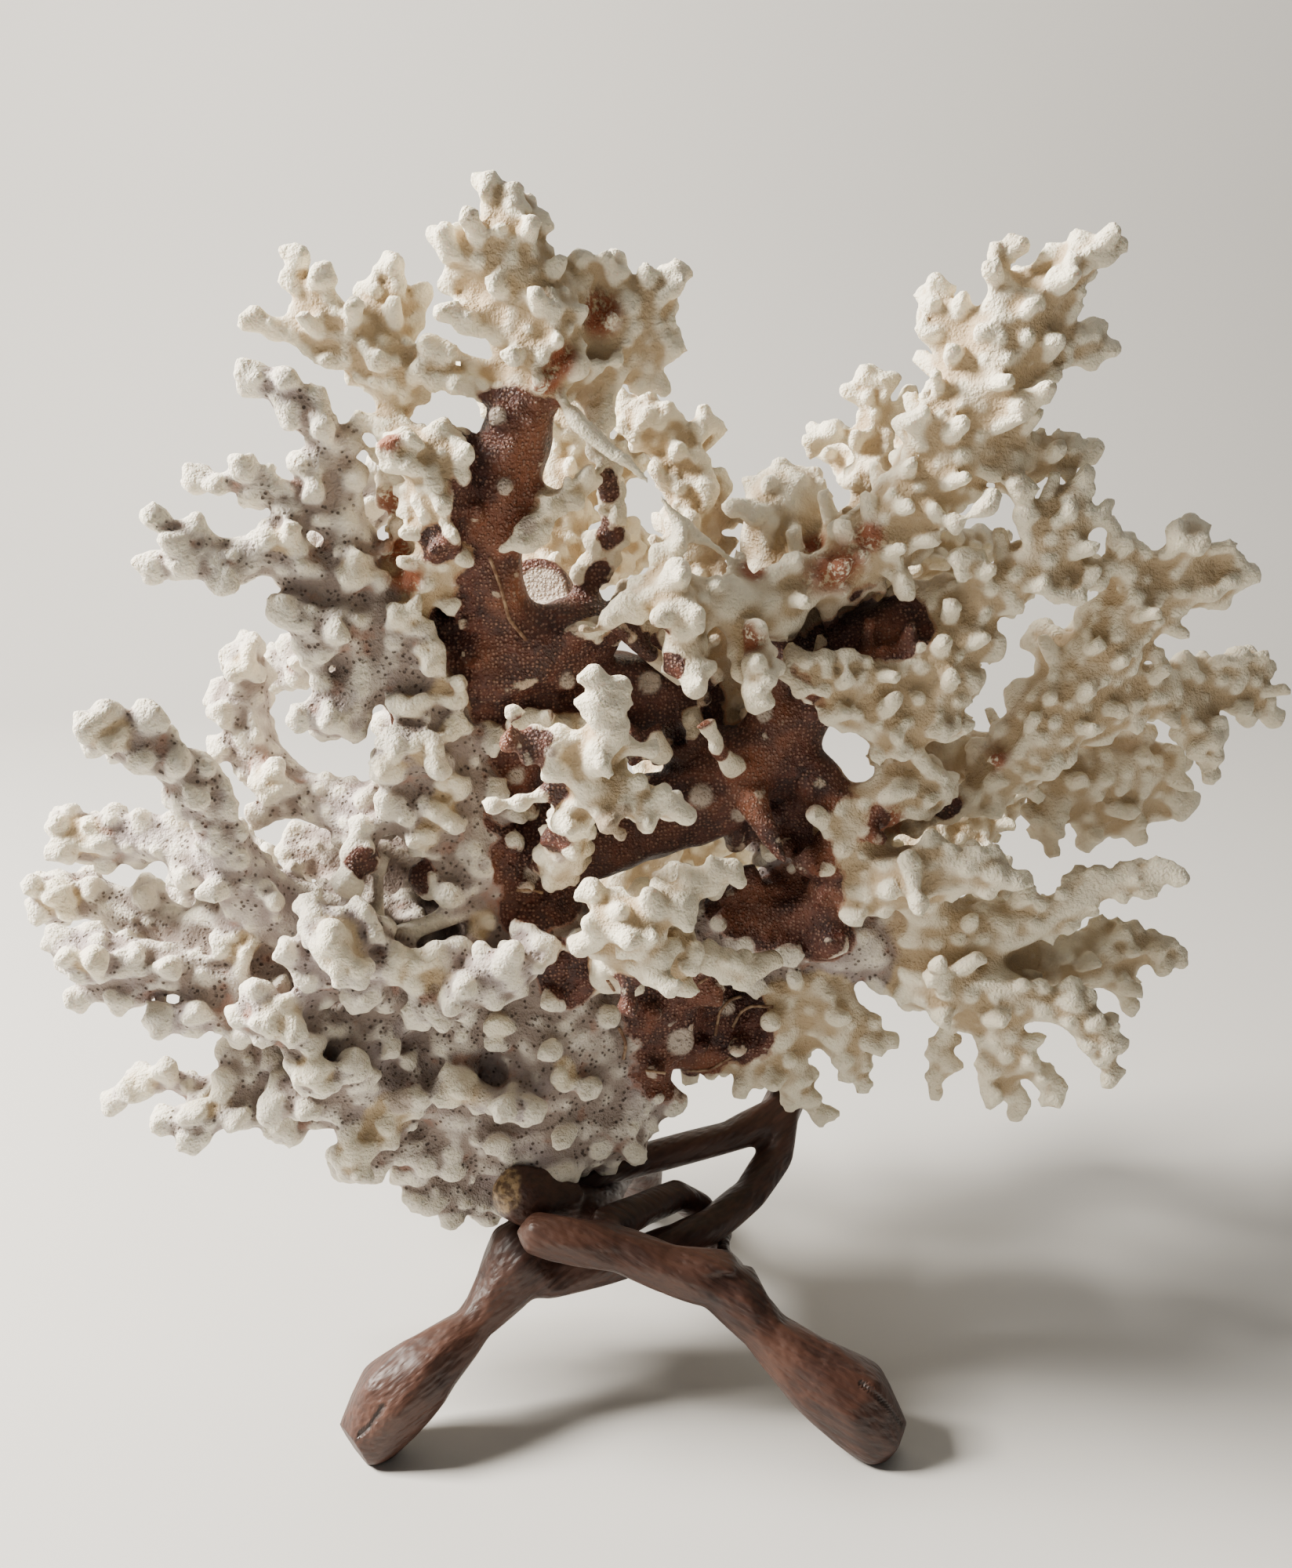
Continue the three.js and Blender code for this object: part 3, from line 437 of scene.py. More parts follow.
# Swellings of the stems, as [how many to a metre, height].
WAVES = [(75.0, 0.0016), (190.0, 0.0009)]
swell = -MM * np.array([THINNED[kinds[number]] for number in core_owner])
swell = Averager(core).passes(swell, THIN_PASSES) * (1 - blunt)
for scale, height in WAVES:
    swell += [height * noise.noise(Vector(p) * scale) for p in spots]
spots = spots + (flat_spots - spots) * blunt[:, None] + outward * swell[:, None]
move_points(core, spots)
core.update()
core_view = view_of(core, spots)

# The big stem that broke off towards the front: [right, up], radius, and radius of its pale broken end
# in millimetres. Then its length, how far it is rooted in the core, and its sides.
STUMP_AT, STUMP_WIDE, STUMP_PALE = (-27, 48), 0.0088, 7.0
STUMP_LONG, STUMP_ROOT, STUMP_SIDES = 0.009, 0.006, 40
# It points a little to the left of the eye and above it.
STUMP_AIM = Vector((-0.05, 0, 0.06))
stump_foot = core_view.ray_cast(EYE, sight(*STUMP_AT))[0]
stump_way = (EYE + STUMP_AIM - stump_foot).normalized()
stump_end = np.array(stump_foot + stump_way * STUMP_LONG)


def round_ball(fineness):
    ball = bmesh.new()
    bmesh.ops.create_icosphere(ball, subdivisions=fineness, radius=1)
    points = np.array([v.co for v in ball.verts])
    faces = np.array([[v.index for v in f.verts] for f in ball.faces])
    ball.free()
    return points, faces


small_ball, large_ball = round_ball(2), round_ball(3)
LARGE_FROM = 0.0015

added_points, added_faces = [], []


def add_shape(points, faces):
    start = sum(len(p) for p in added_points)
    added_points.append(points)
    added_faces.append(faces + start)


def add_ball(at, axis, radius, half_length):
    axis = Vector(axis).normalized()
    side = axis.orthogonal().normalized()
    turn = np.array([side, axis.cross(side), axis])
    points, faces = large_ball if radius > LARGE_FROM else small_ball
    add_shape((points * np.array([radius, radius, half_length])) @ turn + np.array(at), faces)


def loose_turn(amount):
    """A small push to any side."""
    return amount * np.array([random.uniform(-1, 1) for _ in range(3)])


def one_long(way):
    return way / np.linalg.norm(way)


# A tip's knobs: how far they turn from its axis, their share of its size, how far out they sit, and how
# much longer than wide they are.
BUNCH_TURN, BUNCH_SHARE, BUNCH_OUT, BUNCH_LONG = 1.3, (0.4, 0.6), 0.85, 1.1


def add_bunch(at, axis, radius, knobs):
    """A rounded tip: one ball with smaller ones all over its outer half."""
    add_ball(at, axis, radius, radius)
    for _ in range(knobs):
        way = one_long(axis + loose_turn(BUNCH_TURN))
        size = radius * random.uniform(*BUNCH_SHARE)
        add_ball(at + way * radius * BUNCH_OUT, way, size, size * BUNCH_LONG)


class Places:
    """Keeps the places that were taken, to refuse another one too near."""

    def __init__(self, width):
        self.width = width
        self.cells = {}

    def take(self, at, spacing):
        cell = tuple(math.floor(x / self.width) for x in at)
        reach = math.ceil(spacing / self.width)
        near = range(-reach, reach + 1)
        for i in near:
            for j in near:
                for k in near:
                    for other in self.cells.get((cell[0] + i, cell[1] + j, cell[2] + k), ()):
                        if np.dot(other - at, other - at) < spacing * spacing:
                            return False
        self.cells.setdefault(cell, []).append(at)
        return True


# Knobs and shoots lean away from this place, low in the middle, where the coral began.
ROOT = np.array((-0.01, -0.02, 0.09))
random.seed(11)
BUNCH_KNOBS = {"rough": 8, "lobed": 5, "fingered": 1, "crusty": 7}

# Tips, from the one that stands out most, each sunk by this share of its radius.
TIP_SUNK = 0.25
tips_taken = Places(0.006)
for number in np.argsort(-core_edge):
    if core_edge[number] < TIP_STANDS:
        break
    kind = kinds[core_owner[number]]
    if kind in TIPS and tips_taken.take(spots[number], MM * TIP_SPACING[kind]):
        radius = MM * random.uniform(*TIPS[kind])
        at = spots[number] - outward[number] * radius * TIP_SUNK
        add_bunch(at, outward[number], radius, BUNCH_KNOBS[kind])

# Side shoots and knobs, wherever a place is free for one.
CANDIDATES = 60000
STUMP_CLEAR = STUMP_WIDE * 1.25
SPACING_WAVE, SPACING_SCALE = 0.35, 45
# A shoot leans towards the tip and turns loosely. It is shorter on an edge, and of mixed length.
SHOOT_LEAN, SHOOT_TURN, SHOOT_STUNT, SHOOT_SHARE = 0.7, 0.35, 0.6, (0.35, 1)
# A knob turns loosely too, and off the edges it is no longer than this share of its length.
KNOB_TURN, KNOB_LOW = 0.3, 0.25
places, normals = spread_over(core, CANDIDATES)
place_owner = owners(places)
core_tree = finder_of(spots)
place_edge = np.array([core_edge[core_tree.find(p)[1]] for p in places])
place_edge = np.clip((place_edge - EDGE_LOW) / (EDGE_HIGH - EDGE_LOW), 0, 1)
knobs_taken, shoots_taken = Places(0.004), Places(0.008)
knob_list = []
for at, facing, number, edge in zip(places, normals, place_owner, place_edge):
    if np.linalg.norm(at - stump_end) < STUMP_CLEAR:
        continue
    kind = kinds[number]
    spacing = MM * KNOBS[kind][0] * (1 + SPACING_WAVE * noise.noise(Vector(at) * SPACING_SCALE))
    if knobs_taken.take(at, spacing):
        knob_list.append((at, facing, kind, edge))
    if kind in SHOOTS and shoots_taken.take(at, MM * SHOOTS[kind][0]):
        _, least, greatest, reach = SHOOTS[kind]
        radius = MM * random.uniform(least, greatest)
        length = MM * reach * (1 - SHOOT_STUNT * edge) * random.uniform(*SHOOT_SHARE)
        axis = one_long(facing + SHOOT_LEAN * one_long(at - ROOT) + loose_turn(SHOOT_TURN))
        add_ball(at + axis * length * 0.4, axis, radius, radius + length * 0.5)
        add_bunch(at + axis * length, axis, radius * 0.95, BUNCH_KNOBS[kind] - 2)
for at, facing, kind, edge in knob_list:
    spacing, least, greatest, reach, lean = KNOBS[kind]
    size = random.random()
    radius = MM * (least + (greatest - least) * size)
    length = MM * reach * (KNOB_LOW + (1 - KNOB_LOW) * edge) * random.random()
    at = at - facing * radius * (1 - SUNK[kind]) * (1 - edge)
    axis = one_long(facing + lean * one_long(at - ROOT) + loose_turn(KNOB_TURN))
    add_ball(at + axis * (0.5 * length), axis, radius, radius + 0.5 * length)


# Small growths: the stump of the big stem, bare rods, knobbly twigs and fingers, and crumbly bunches,
# all of the coral's own stone and grown on it. Broken twigs left flat scars, and old tube worms left
# their rings of lime stuck to the crust. All of them go into the one skin.
MIDDLE_FAR = 0.423


def seen(right, up, back):
    """A measured place with how far back it lies from the stand's middle, in millimetres."""
    line = sight(right, up)
    return EYE + line * ((MIDDLE_FAR + MM * back) / line.y)


# No tube runs this way.
ASKEW = Vector((0.3, 0.2, 0.93))


def add_tube(path, sides=8):
    """A round tube through (place, radius) stations, smoothly rounded between them."""
    path = [(np.array(p), r) for p, r in path]
    ends = [path[0]] + path + [path[-1]]
    line = []
    for k in range(1, len(ends) - 2):
        (p0, _), (p1, r1), (p2, r2), (p3, _) = ends[k - 1:k + 3]
        for t in (0, 0.25, 0.5, 0.75):
            curve = 0.5 * (2 * p1 + (p2 - p0) * t + (2 * p0 - 5 * p1 + 4 * p2 - p3) * t * t
                           + (3 * p1 - p0 - 3 * p2 + p3) * t ** 3)
            line.append((curve, r1 + (r2 - r1) * t))
    line.append(path[-1])
    rings, faces = [], []
    for k, (p, r) in enumerate(line):
        run = Vector(line[min(k + 1, len(line) - 1)][0] - line[max(k - 1, 0)][0]).normalized()
        side = run.cross(ASKEW).normalized()
        over = run.cross(side)
        for j in range(sides):
            turn = 2 * math.pi * j / sides
            rings.append(p + r * (math.cos(turn) * np.array(side) + math.sin(turn) * np.array(over)))
    for k in range(len(line) - 1):
        for j in range(sides):
            a, b = k * sides + j, k * sides + (j + 1) % sides
            faces += [(a, b, a + sides), (b, b + sides, a + sides)]
    last = (len(line) - 1) * sides
    for j in range(1, sides - 1):
        faces += [(0, j + 1, j), (last, last + j, last + j + 1)]
    return np.array(rings), np.array(faces)


# [right, up, back, radius] stations.
RODS = [
    [(-67, -18, -8, 2.3), (-68.5, -25, -11, 1.9), (-69, -35, -9, 2.6)],
    [(-67, -40, -14, 3.2), (-56, -36, -12, 2.5), (-44, -31, -6, 3.4)],
    [(-9, 42, -8, 2.2), (0, 34, -4, 2.4), (10, 27, 2, 3)],
    [(-51, 111, -6, 1.0), (-44, 108, -4, 1.3), (-36, 106, -2, 1.8)],
]
stump_start = np.array(stump_foot - stump_way * STUMP_ROOT)
add_shape(*add_tube([(stump_start, STUMP_WIDE * 1.1), (stump_end, STUMP_WIDE)], STUMP_SIDES))
for rod in RODS:
    stations = [(seen(*at[:3]), MM * at[3]) for at in rod]
    add_shape(*add_tube(stations))


# A twig has one lump to each LUMP_STEP, and a bud on each. How far a lump sits off its line, how wide it
# is, and how wide, how far out and how long its bud is, are shares of the twig's radius.
LUMP_STEP = 0.0028
LUMP_OFF, LUMP_WIDE = 0.35, (0.8, 1.0)
BUD_WIDE, BUD_OUT, BUD_LONG = (0.45, 0.65), 0.8, 1.4


def add_lumpy(stations):
    """A knobbly twig with rounded ends, through (place, radius) stations."""
    for (start, wide), (end, narrow) in zip(stations, stations[1:]):
        run = end - start
        steps = max(2, int(np.linalg.norm(run) / LUMP_STEP))
        for k in range(steps + 1):
            radius = wide + (narrow - wide) * k / steps
            way = loose_turn(1.0)
            way = one_long(way - run * (way @ run) / (run @ run))
            at = start + run * k / steps + way * radius * LUMP_OFF
            add_ball(at, run, radius * random.uniform(*LUMP_WIDE), radius)
            size = radius * random.uniform(*BUD_WIDE)
            add_ball(at + way * radius * BUD_OUT, way, size, size * BUD_LONG)


# Twigs behind the front growths, where stems and their side twigs close the view: stations as above.
TWIGS = [
    [(8, 6, 16, 5), (26, -8, 14, 5.5), (46, -18, 14, 5), (58, -22, 16, 4)],
    [(20, -2, 18, 5), (33, -14, 18, 5), (38, -28, 18, 4)],
    [(30, 4, 16, 5), (37, -5, 16, 7), (46, -12, 15, 6)],
    [(-54, 50, 8, 4), (-50, 42, 8, 5), (-46, 32, 8, 4.5)],
    [(-4, 50, 14, 3.6), (3, 40, 15, 4), (8, 30, 14, 4)],
]
for twig in TWIGS:
    add_lumpy([(np.array(seen(*at[:3])), MM * at[3]) for at in twig])

# Flat round scars that stand up by little more than a millimetre: [right, up, radius].
SCARS = [
    (14, -3, 3.6), (-29, -23, 2.6), (-22, -19, 2.0), (9, -66, 4.2), (1, 26, 3.4),
    (-38, 94, 2.6), (-30, 66, 2.6), (-20, 26, 2.4), (24, -8, 2.4), (30, 18, 2.6),
    (-36, 76, 2.4), (-63, -81, 4.0), (21, -57, 2.4), (-33, 2, 2.6), (-24, 8, 2.0),
]
SCAR_HIGH, SCAR_RISE = 1.2, 0.12
for right, up, radius in SCARS:
    hit, facing, _, _ = core_view.ray_cast(EYE, sight(right, up))
    if hit is None:
        continue
    axis = (facing + (EYE - hit).normalized()).normalized()
    add_ball(np.array(hit), axis, MM * radius, MM * (SCAR_HIGH + SCAR_RISE * radius))

# Smooth blunt fingers that stand before the stems: [right, up, radius, millimetres off the stem].
FINGERS = [
    [(-30, 16, 3.2, 5), (-20, 15, 4, 6), (-10, 14, 4.6, 7), (4, 8.6, 3.4, 6)],
    [(-40, 12, 3.4, 4), (-30, 16, 3.6, 5)],
    [(-10, 14, 4, 7), (-11, 21, 3.4, 8), (-12, 27.6, 3.2, 8)],
    [(-9, 15, 3.6, 7), (-6, 24, 3.4, 7)],
    [(-22, 4, 3.4, 4), (-14, 1, 4, 6), (-4, -2, 4.2, 6), (10, -8, 3.2, 5)],
    [(-12, 1, 3.6, 6), (-10, -10, 3.0, 6)],
    [(-3, -2, 3.6, 6), (0, -10, 2.8, 6)],
    [(-16, 2, 3.8, 5), (-10, 14, 4.0, 7)],
    [(-36, -7, 3.2, 3), (-30, -6, 3.6, 4)],
    [(-21, -9, 3.8, 2), (-17, -8, 3, 3)],
    [(-17, -41, 3.6, 5), (-6, -36, 4.6, 7), (8, -30, 4.8, 7), (21, -21, 3.4, 5)],
    [(-6, -36, 4, 7), (-13, -26, 3.2, 6)],
    [(-2, -38, 4.4, 7), (2, -45, 4.2, 7), (5, -52, 3.2, 6)],
    [(6, -34, 4, 7), (12, -46, 3.2, 6)],
    [(4, -32, 4, 7), (0, -26, 3.2, 7)],
    [(-58, -59, 3.4, 3), (-48, -53, 5, 5), (-36, -47, 5.2, 6), (-25, -41, 3.6, 5)],
    [(-48, -53, 4, 5), (-54.6, -43.6, 3.4, 5)],
    [(7.6, 54, 4.2, 4), (8, 44, 4.6, 5), (9, 34, 4.4, 6), (12, 25, 3.6, 6)],
    [(-12.4, 41, 3.4, 3), (-2, 42, 4.2, 5), (8, 44, 4.4, 5)],
    [(27.6, 38.6, 3.6, 4), (27.6, 30, 4.2, 5), (27, 21, 3.4, 5)],
    [(12, 16.4, 3.4, 3), (17, 11, 3.8, 5), (22, 4, 3.0, 5)],
]
# A finger's next place is as far away as the last one, unless the stem behind is within this reach of it.
SAME_STEM, STANDS_OFF = 0.012, 0.7
for finger in FINGERS:
    stations, far = [], None
    for right, up, radius, off in finger:
        hit = core_view.ray_cast(EYE, sight(right, up))[0]
        if hit is not None and (far is None or abs((hit - EYE).length - far) < SAME_STEM):
            far = (hit - EYE).length
        if far is not None:
            line = sight(right, up).normalized()
            stations.append((np.array(EYE + line * (far - MM * STANDS_OFF * off)), MM * radius))
    add_lumpy(stations)

# Big crumbly bunches at the ends of the dead branches and along them: [right, up, radius].
CHUNKS = [
    (-137, 13, 7), (-145, -13, 7.5), (-151, -29, 7.5), (-143, -45, 8), (-77, -41, 11), (-102, 31, 5.5),
    (-97, 1, 6), (-93, -60, 7), (-85, -74, 7), (-129, -76, 5), (-112, -80, 6), (-58, -48, 9), (-66, -87, 7),
    (-56, 8, 6), (-50, 24, 5), (-52, -8, 6), (-47, 44, 5), (-74, 55, 6), (-92, 62, 5.5),
    (-47, -78, 8), (-74, -95, 7), (-62, 84, 6), (-104, -42, 6), (-55, 32, 5),
    (-60, 20, 5.5), (-48, 14, 4.5), (-50, -1, 5), (-56, -15, 5), (-62, 42, 5), (-66, 4, 5), (-42, -36, 4.5),
    (-64, -86, 6), (-38, -62, 5), (-20, -74, 5),
]
CHUNK_BUNCHES, CHUNK_KNOBS, CHUNK_SHARE = 9, 6, (0.34, 0.52)
CHUNK_TOWARD, CHUNK_OUT = 0.55, 0.55
for right, up, radius in CHUNKS:
    hit = core_view.ray_cast(EYE, sight(right, up))[0]
    if hit is None:
        continue
    toward = np.array((EYE - hit).normalized())
    for _ in range(CHUNK_BUNCHES):
        way = toward * CHUNK_TOWARD + loose_turn(1.0)
        size = MM * radius * random.uniform(*CHUNK_SHARE)
        add_bunch(np.array(hit) + way * MM * CHUNK_OUT * radius, one_long(way), size, CHUNK_KNOBS)

# Places where knobs grew together across a gap: [right, up, radius].
FILLS = [(-61.6, -70.6, 4), (-54, -94, 6), (3, -3, 3)]
FILL_BALLS, FILL_OUT, FILL_SHARE = 7, 1.1, 0.7
for right, up, radius in FILLS:
    # As deep as the coral round the gap.
    around = [(right + 2 * radius * math.cos(a), up + 2 * radius * math.sin(a))
              for a in np.linspace(0, 6.3, 9)]
    hits = [core_view.ray_cast(EYE, sight(*at))[0] for at in around]
    far = np.median([(hit - EYE).length for hit in hits if hit is not None])
    middle_of = EYE + sight(right, up).normalized() * (far + MM * radius)
    for _ in range(FILL_BALLS):
        way = loose_turn(1.0)
        size = MM * FILL_SHARE * radius
        add_ball(np.array(middle_of) + way * MM * FILL_OUT * radius, way, size, size)

# Worm rings, a few seen from the front and the rest strewn over the crust: [right, up, radius].
RINGS = [(-111, -43, 3.2), (-53, -21, 2.4), (-97, -27, 2.2), (-104, -19, 2.0), (-40, 20, 3.0),
         (-44, 33, 2.6)]
RING_WALL, RING_LIFT, RING_PLACES, RING_SIDES = 0.00075, 0.0006, 8, 6
STREWN_RINGS, STREWN_RADIUS = 110, (0.0013, 0.0024)
ring_list = []
for right, up, radius in RINGS:
    hit, facing, _, _ = core_view.ray_cast(EYE, sight(right, up))
    if hit is not None:
        ring_list.append((hit, facing, MM * radius))
for at, facing, _, _ in random.sample([k for k in knob_list if k[2] == "crusty"], STREWN_RINGS):
    ring_list.append((Vector(at), Vector(facing), random.uniform(*STREWN_RADIUS)))
for at, facing, radius in ring_list:
    side = facing.orthogonal().normalized()
    over = facing.cross(side)
    circle = [(at + facing * RING_LIFT + (side * math.cos(a) + over * math.sin(a)) * radius, RING_WALL)
              for a in np.linspace(0, 2 * math.pi, RING_PLACES)]
    add_shape(*add_tube(circle, RING_SIDES))

whole_points = np.concatenate([points_of(core)] + added_points)
joined_shape = bpy.data.meshes.new("joined")
core_faces = [tuple(f.vertices) for f in core.polygons]
more_faces = np.concatenate(added_faces) + len(core.vertices)
joined_shape.from_pydata(whole_points.tolist(), [], core_faces + more_faces.tolist())
coral = skinned(joined_shape, SKIN_GRAIN, SKIN_PASSES)
spots, outward = points_of(coral), normals_of(coral)

# How shut in each place is, from 0 in the open to 1 deep between the branches: the share of short lines
# from the core, sent out to all sides, that meet another branch.
# Deep between the branches it darkens the stone's colours, as painted shade.
HOLLOW_LINES = 14
HOLLOW_REACH, HOLLOW_LIFT, HOLLOW_PASSES = 0.05, 0.0012, 6
core_points, core_normals = points_of(core), normals_of(core)
ways = rng.normal(size=(len(core_points), HOLLOW_LINES, 3))
ways /= np.linalg.norm(ways, axis=2)[:, :, None]
ways = ways * 0.9 + core_normals[:, None, :]
shut = np.zeros(len(core_points))
for number, start in enumerate(core_points + core_normals * HOLLOW_LIFT):
    for way in ways[number]:
        if core_view.ray_cast(start, way, HOLLOW_REACH)[0] is not None:
            shut[number] += 1
shut = Averager(core).passes(shut / HOLLOW_LINES, HOLLOW_PASSES)
hollow = Averager(coral).passes(shut[[core_tree.find(p)[1] for p in spots]], HOLLOW_PASSES)

# Its colours: bare red-brown stems with pale cups, ivory knobs over them, and a greyed, lilac-tinged
# crust with open pores on the left, where it lay dead longest. Stains are placed from the front.
owner = owners(spots)
# crest: how far each place stands out from its smoothed form, from -1 in a crease to 1 on a crest. The
# stone's colour is lighter on crests and darker in creases by it, which is painted light and painted shade.
CREST_HEIGHT = 0.0007
CREST_LOOK = 22
crest = np.sum((spots - flattened(coral, spots, CREST_LOOK)) * outward, 1)
crest = np.clip(crest / CREST_HEIGHT, -1, 1)

# A little over 1 for the stems, so that few patches of ivory are left on them.
short_names = [name.removeprefix("coral_") for name in coral_nodes]
is_brown = np.array([1.1 if s in STEMS else 0.0 for s in short_names])
is_grey = np.array([1.0 if s in CRUSTY else 0.0 for s in short_names])
# The kinds run into each other where their parts meet.
BLEND_PASSES = 30
blender = Averager(coral)
brown = blender.passes(is_brown[owner], BLEND_PASSES)
grey = blender.passes(is_grey[owner], BLEND_PASSES)
from_root = np.linalg.norm(spots - ROOT, axis=1)
# Deep inside, round the root, the ivory branches are brown as well.
INNER_REACH, INNER_BROWN = 0.11, 0.75
inner = np.clip(1.3 - from_root / INNER_REACH, 0, 1) * np.clip((hollow - 0.45) / 0.3, 0, 1) * (1 - grey)
brown = np.maximum(brown, INNER_BROWN * inner)
rust, pale = np.zeros(len(spots)), np.zeros(len(spots))

skin_view = view_of(coral, spots)
skin_tree = finder_of(spots)


def stain(values, right, up, radius, wanted, softness=0.6):
    """Brings values to wanted round the place that is seen at right, up."""
    hit = skin_view.ray_cast(EYE, sight(right, up))[0]
    if hit is None:
        return
    reach = MM * radius * (hit - EYE).length / PLANE
    for _, number, away in skin_tree.find_range(hit, reach * (1 + softness / 2)):
        share = min(1.0, max(0.0, 1 + softness / 2 - away / reach) / softness)
        values[number] += (wanted - values[number]) * share


# Red-brown skin of the bare stems: [right, up, radius].
BROWN_STAINS = [
    (30, -14, 9), (37, -5, 8), (35, -32, 11), (24, -28, 9), (45, -38, 8), (-20, -50, 7), (2, -60, 9),
    (14, -56, 8), (25, -62, 8), (-6, -55, 6), (-33, -20, 7), (-30, -32, 7), (-36, -8, 5), (10, -72, 9),
    (40, -18, 8), (-50, 42, 6), (3, 40, 6),
    (-35, 88, 12), (-25, 91, 7), (-41, 72, 10), (-10, 76, 4.5), (-9, 64, 4.5), (-11, 52, 5), (-53, 60, 6),
    (59, 40, 10), (51, 36, 8), (35, 26, 12), (59, -12, 6), (43, -26, 8), (27, -30, 10), (9, -70, 12),
    (21, -60, 10), (-5, -58, 8), (-22, -46, 6), (77, -6, 3.6), (-25, -12, 7), (-22, -28, 7),
    (2, 12, 8), (20, -10, 9), (-5, -18, 9), (-32, 10, 9), (-28, -2, 8), (12, 20, 10), (14, 8, 9),
    (-60, -24, 6), (-72, -20, 5), (66, 40, 7),
]
# Knobbed ivory growths that stand in front of the stems: [right, up, radius].
IVORY_STAINS = [(52, -9, 5), (-14, 39, 4)]
IVORY_STAINS += [(right, up, radius + 1) for finger in FINGERS for right, up, radius, _ in finger]
# The stump and the thin twigs that are bare to their tips: [right, up, radius].
BARE_TWIGS = [(*STUMP_AT, 11), (29, -11, 5), (0, 34, 4), (6, 30, 4)]
# Rust-red flecks: [right, up, radius].
RUST_STAINS = [
    (-12, 120, 5.6), (-21, 108, 4), (-25, 102, 4.4), (-66, 88, 3.6), (-65, 72, 4), (-64, 60, 4),
    (-61, 53, 5), (49, 54, 8.4), (43, 60, 4), (57, 63, 4), (27, 54, 3.6), (26, 37, 4.4), (88, 7, 4.4),
    (61, -10, 5), (-65, 17, 3), (-22, -48, 5),
]
for right, up, radius in BROWN_STAINS:
    stain(brown, right, up, radius, wanted=1.2)
for right, up, radius in IVORY_STAINS:
    stain(brown, right, up, radius, wanted=0.0)
for right, up, radius in BARE_TWIGS:
    stain(brown, right, up, radius, wanted=1.5, softness=0.3)
for right, up, radius in RUST_STAINS:
    stain(rust, right, up, radius, wanted=1.0)
# The pale middle of a scar, as a share of it.
SCAR_PALE = 0.86
for right, up, radius in SCARS:
    stain(pale, right, up, radius * SCAR_PALE, wanted=1.0, softness=0.25)
stain(pale, *STUMP_AT, STUMP_PALE, wanted=1.0, softness=0.12)
for right, up, radius in CHUNKS:
    stain(grey, right, up, radius, wanted=0.3, softness=0.9)

stone, n, shell = new_finish("coral stone")
place = n.add("ShaderNodeTexCoord").outputs["Object"]
broad, yellowed = n.mottled(place, 40.0, 3.0, 0.5, 0.75)
middle = n.noise(place, 210.0, 4.0)
fine = n.noise(place, 900.0, 3.0)
grainy = n.noise(place, 1700.0, 2.0)
ridge = n.attribute("crest")
cups = n.add("ShaderNodeTexVoronoi", {"Vector": place, "Scale": 900.0, "Randomness": 0.55})
pits = n.add("ShaderNodeTexVoronoi", {"Vector": place, "Scale": 640.0, "Randomness": 0.9})
cup = n.math("SUBTRACT", 1.0, n.step(cups.outputs["Distance"], 0.22, 0.46))
pit = n.math("SUBTRACT", 1.0, n.step(pits.outputs["Distance"], 0.16, 0.34))
# By high, the ivory and the grey crust run from a darker colour in the creases to a lighter one on the
# crests: painted shade and painted light. The cream crests of the grey crust are its young tips.
high = n.step(ridge, -0.5, 0.7)

ivory = n.mix(high, (0.48, 0.36, 0.22, 1), (0.87, 0.80, 0.63, 1))
ivory = n.mix(n.math("MULTIPLY", yellowed, 0.4), ivory, (0.66, 0.55, 0.38, 1))
ashen = n.mix(high, (0.28, 0.222, 0.19, 1), (0.76, 0.70, 0.615, 1))
ashen = n.mix(n.math("MULTIPLY", n.step(broad, 0.48, 0.66), 0.5), ashen, (0.46, 0.39, 0.40, 1))
ashen = n.mix(n.math("MULTIPLY", n.step(ridge, 0.25, 0.85), 0.85), ashen, (0.82, 0.765, 0.63, 1))
pitted = n.math("MULTIPLY", pit, n.step(middle, 0.40, 0.52))
pitted = n.math("MULTIPLY", pitted, n.math("SUBTRACT", 1.0, n.math("MULTIPLY", n.step(ridge, 0.0, 0.6), 0.8)))
ashen = n.mix(n.math("MULTIPLY", pitted, 0.9), ashen, (0.095, 0.068, 0.055, 1))
_, reddened = n.mottled(place, 130.0, 5.0, 0.57, 0.68)
blush = n.math("MULTIPLY", reddened, n.math("SUBTRACT", 1.0, high))
ashen = n.mix(n.math("MULTIPLY", blush, 0.4), ashen, (0.36, 0.15, 0.09, 1))
stem = n.mix(n.step(middle, 0.35, 0.7), (0.040, 0.012, 0.009, 1), (0.12, 0.035, 0.020, 1))
stem = n.mix(n.math("MULTIPLY", n.step(broad, 0.5, 0.68), 0.75), stem, (0.26, 0.085, 0.035, 1))
stem = n.mix(n.math("MULTIPLY", cup, 0.7), stem, (0.36, 0.20, 0.145, 1))

# Painted shade deep between the branches: each colour darkens where the place is shut in.
uneven = n.math("MULTIPLY", n.math("SUBTRACT", middle, 0.5), 0.4)
shade = n.step(n.math("ADD", n.attribute("hollow"), uneven), 0.25, 0.75)
ivory = n.mix(n.math("MULTIPLY", shade, 0.85), ivory, (0.36, 0.265, 0.175, 1))
ashen = n.mix(n.math("MULTIPLY", shade, 0.8), ashen, (0.19, 0.135, 0.11, 1))
stem = n.mix(n.math("MULTIPLY", shade, 0.75), stem, (0.018, 0.007, 0.005, 1))

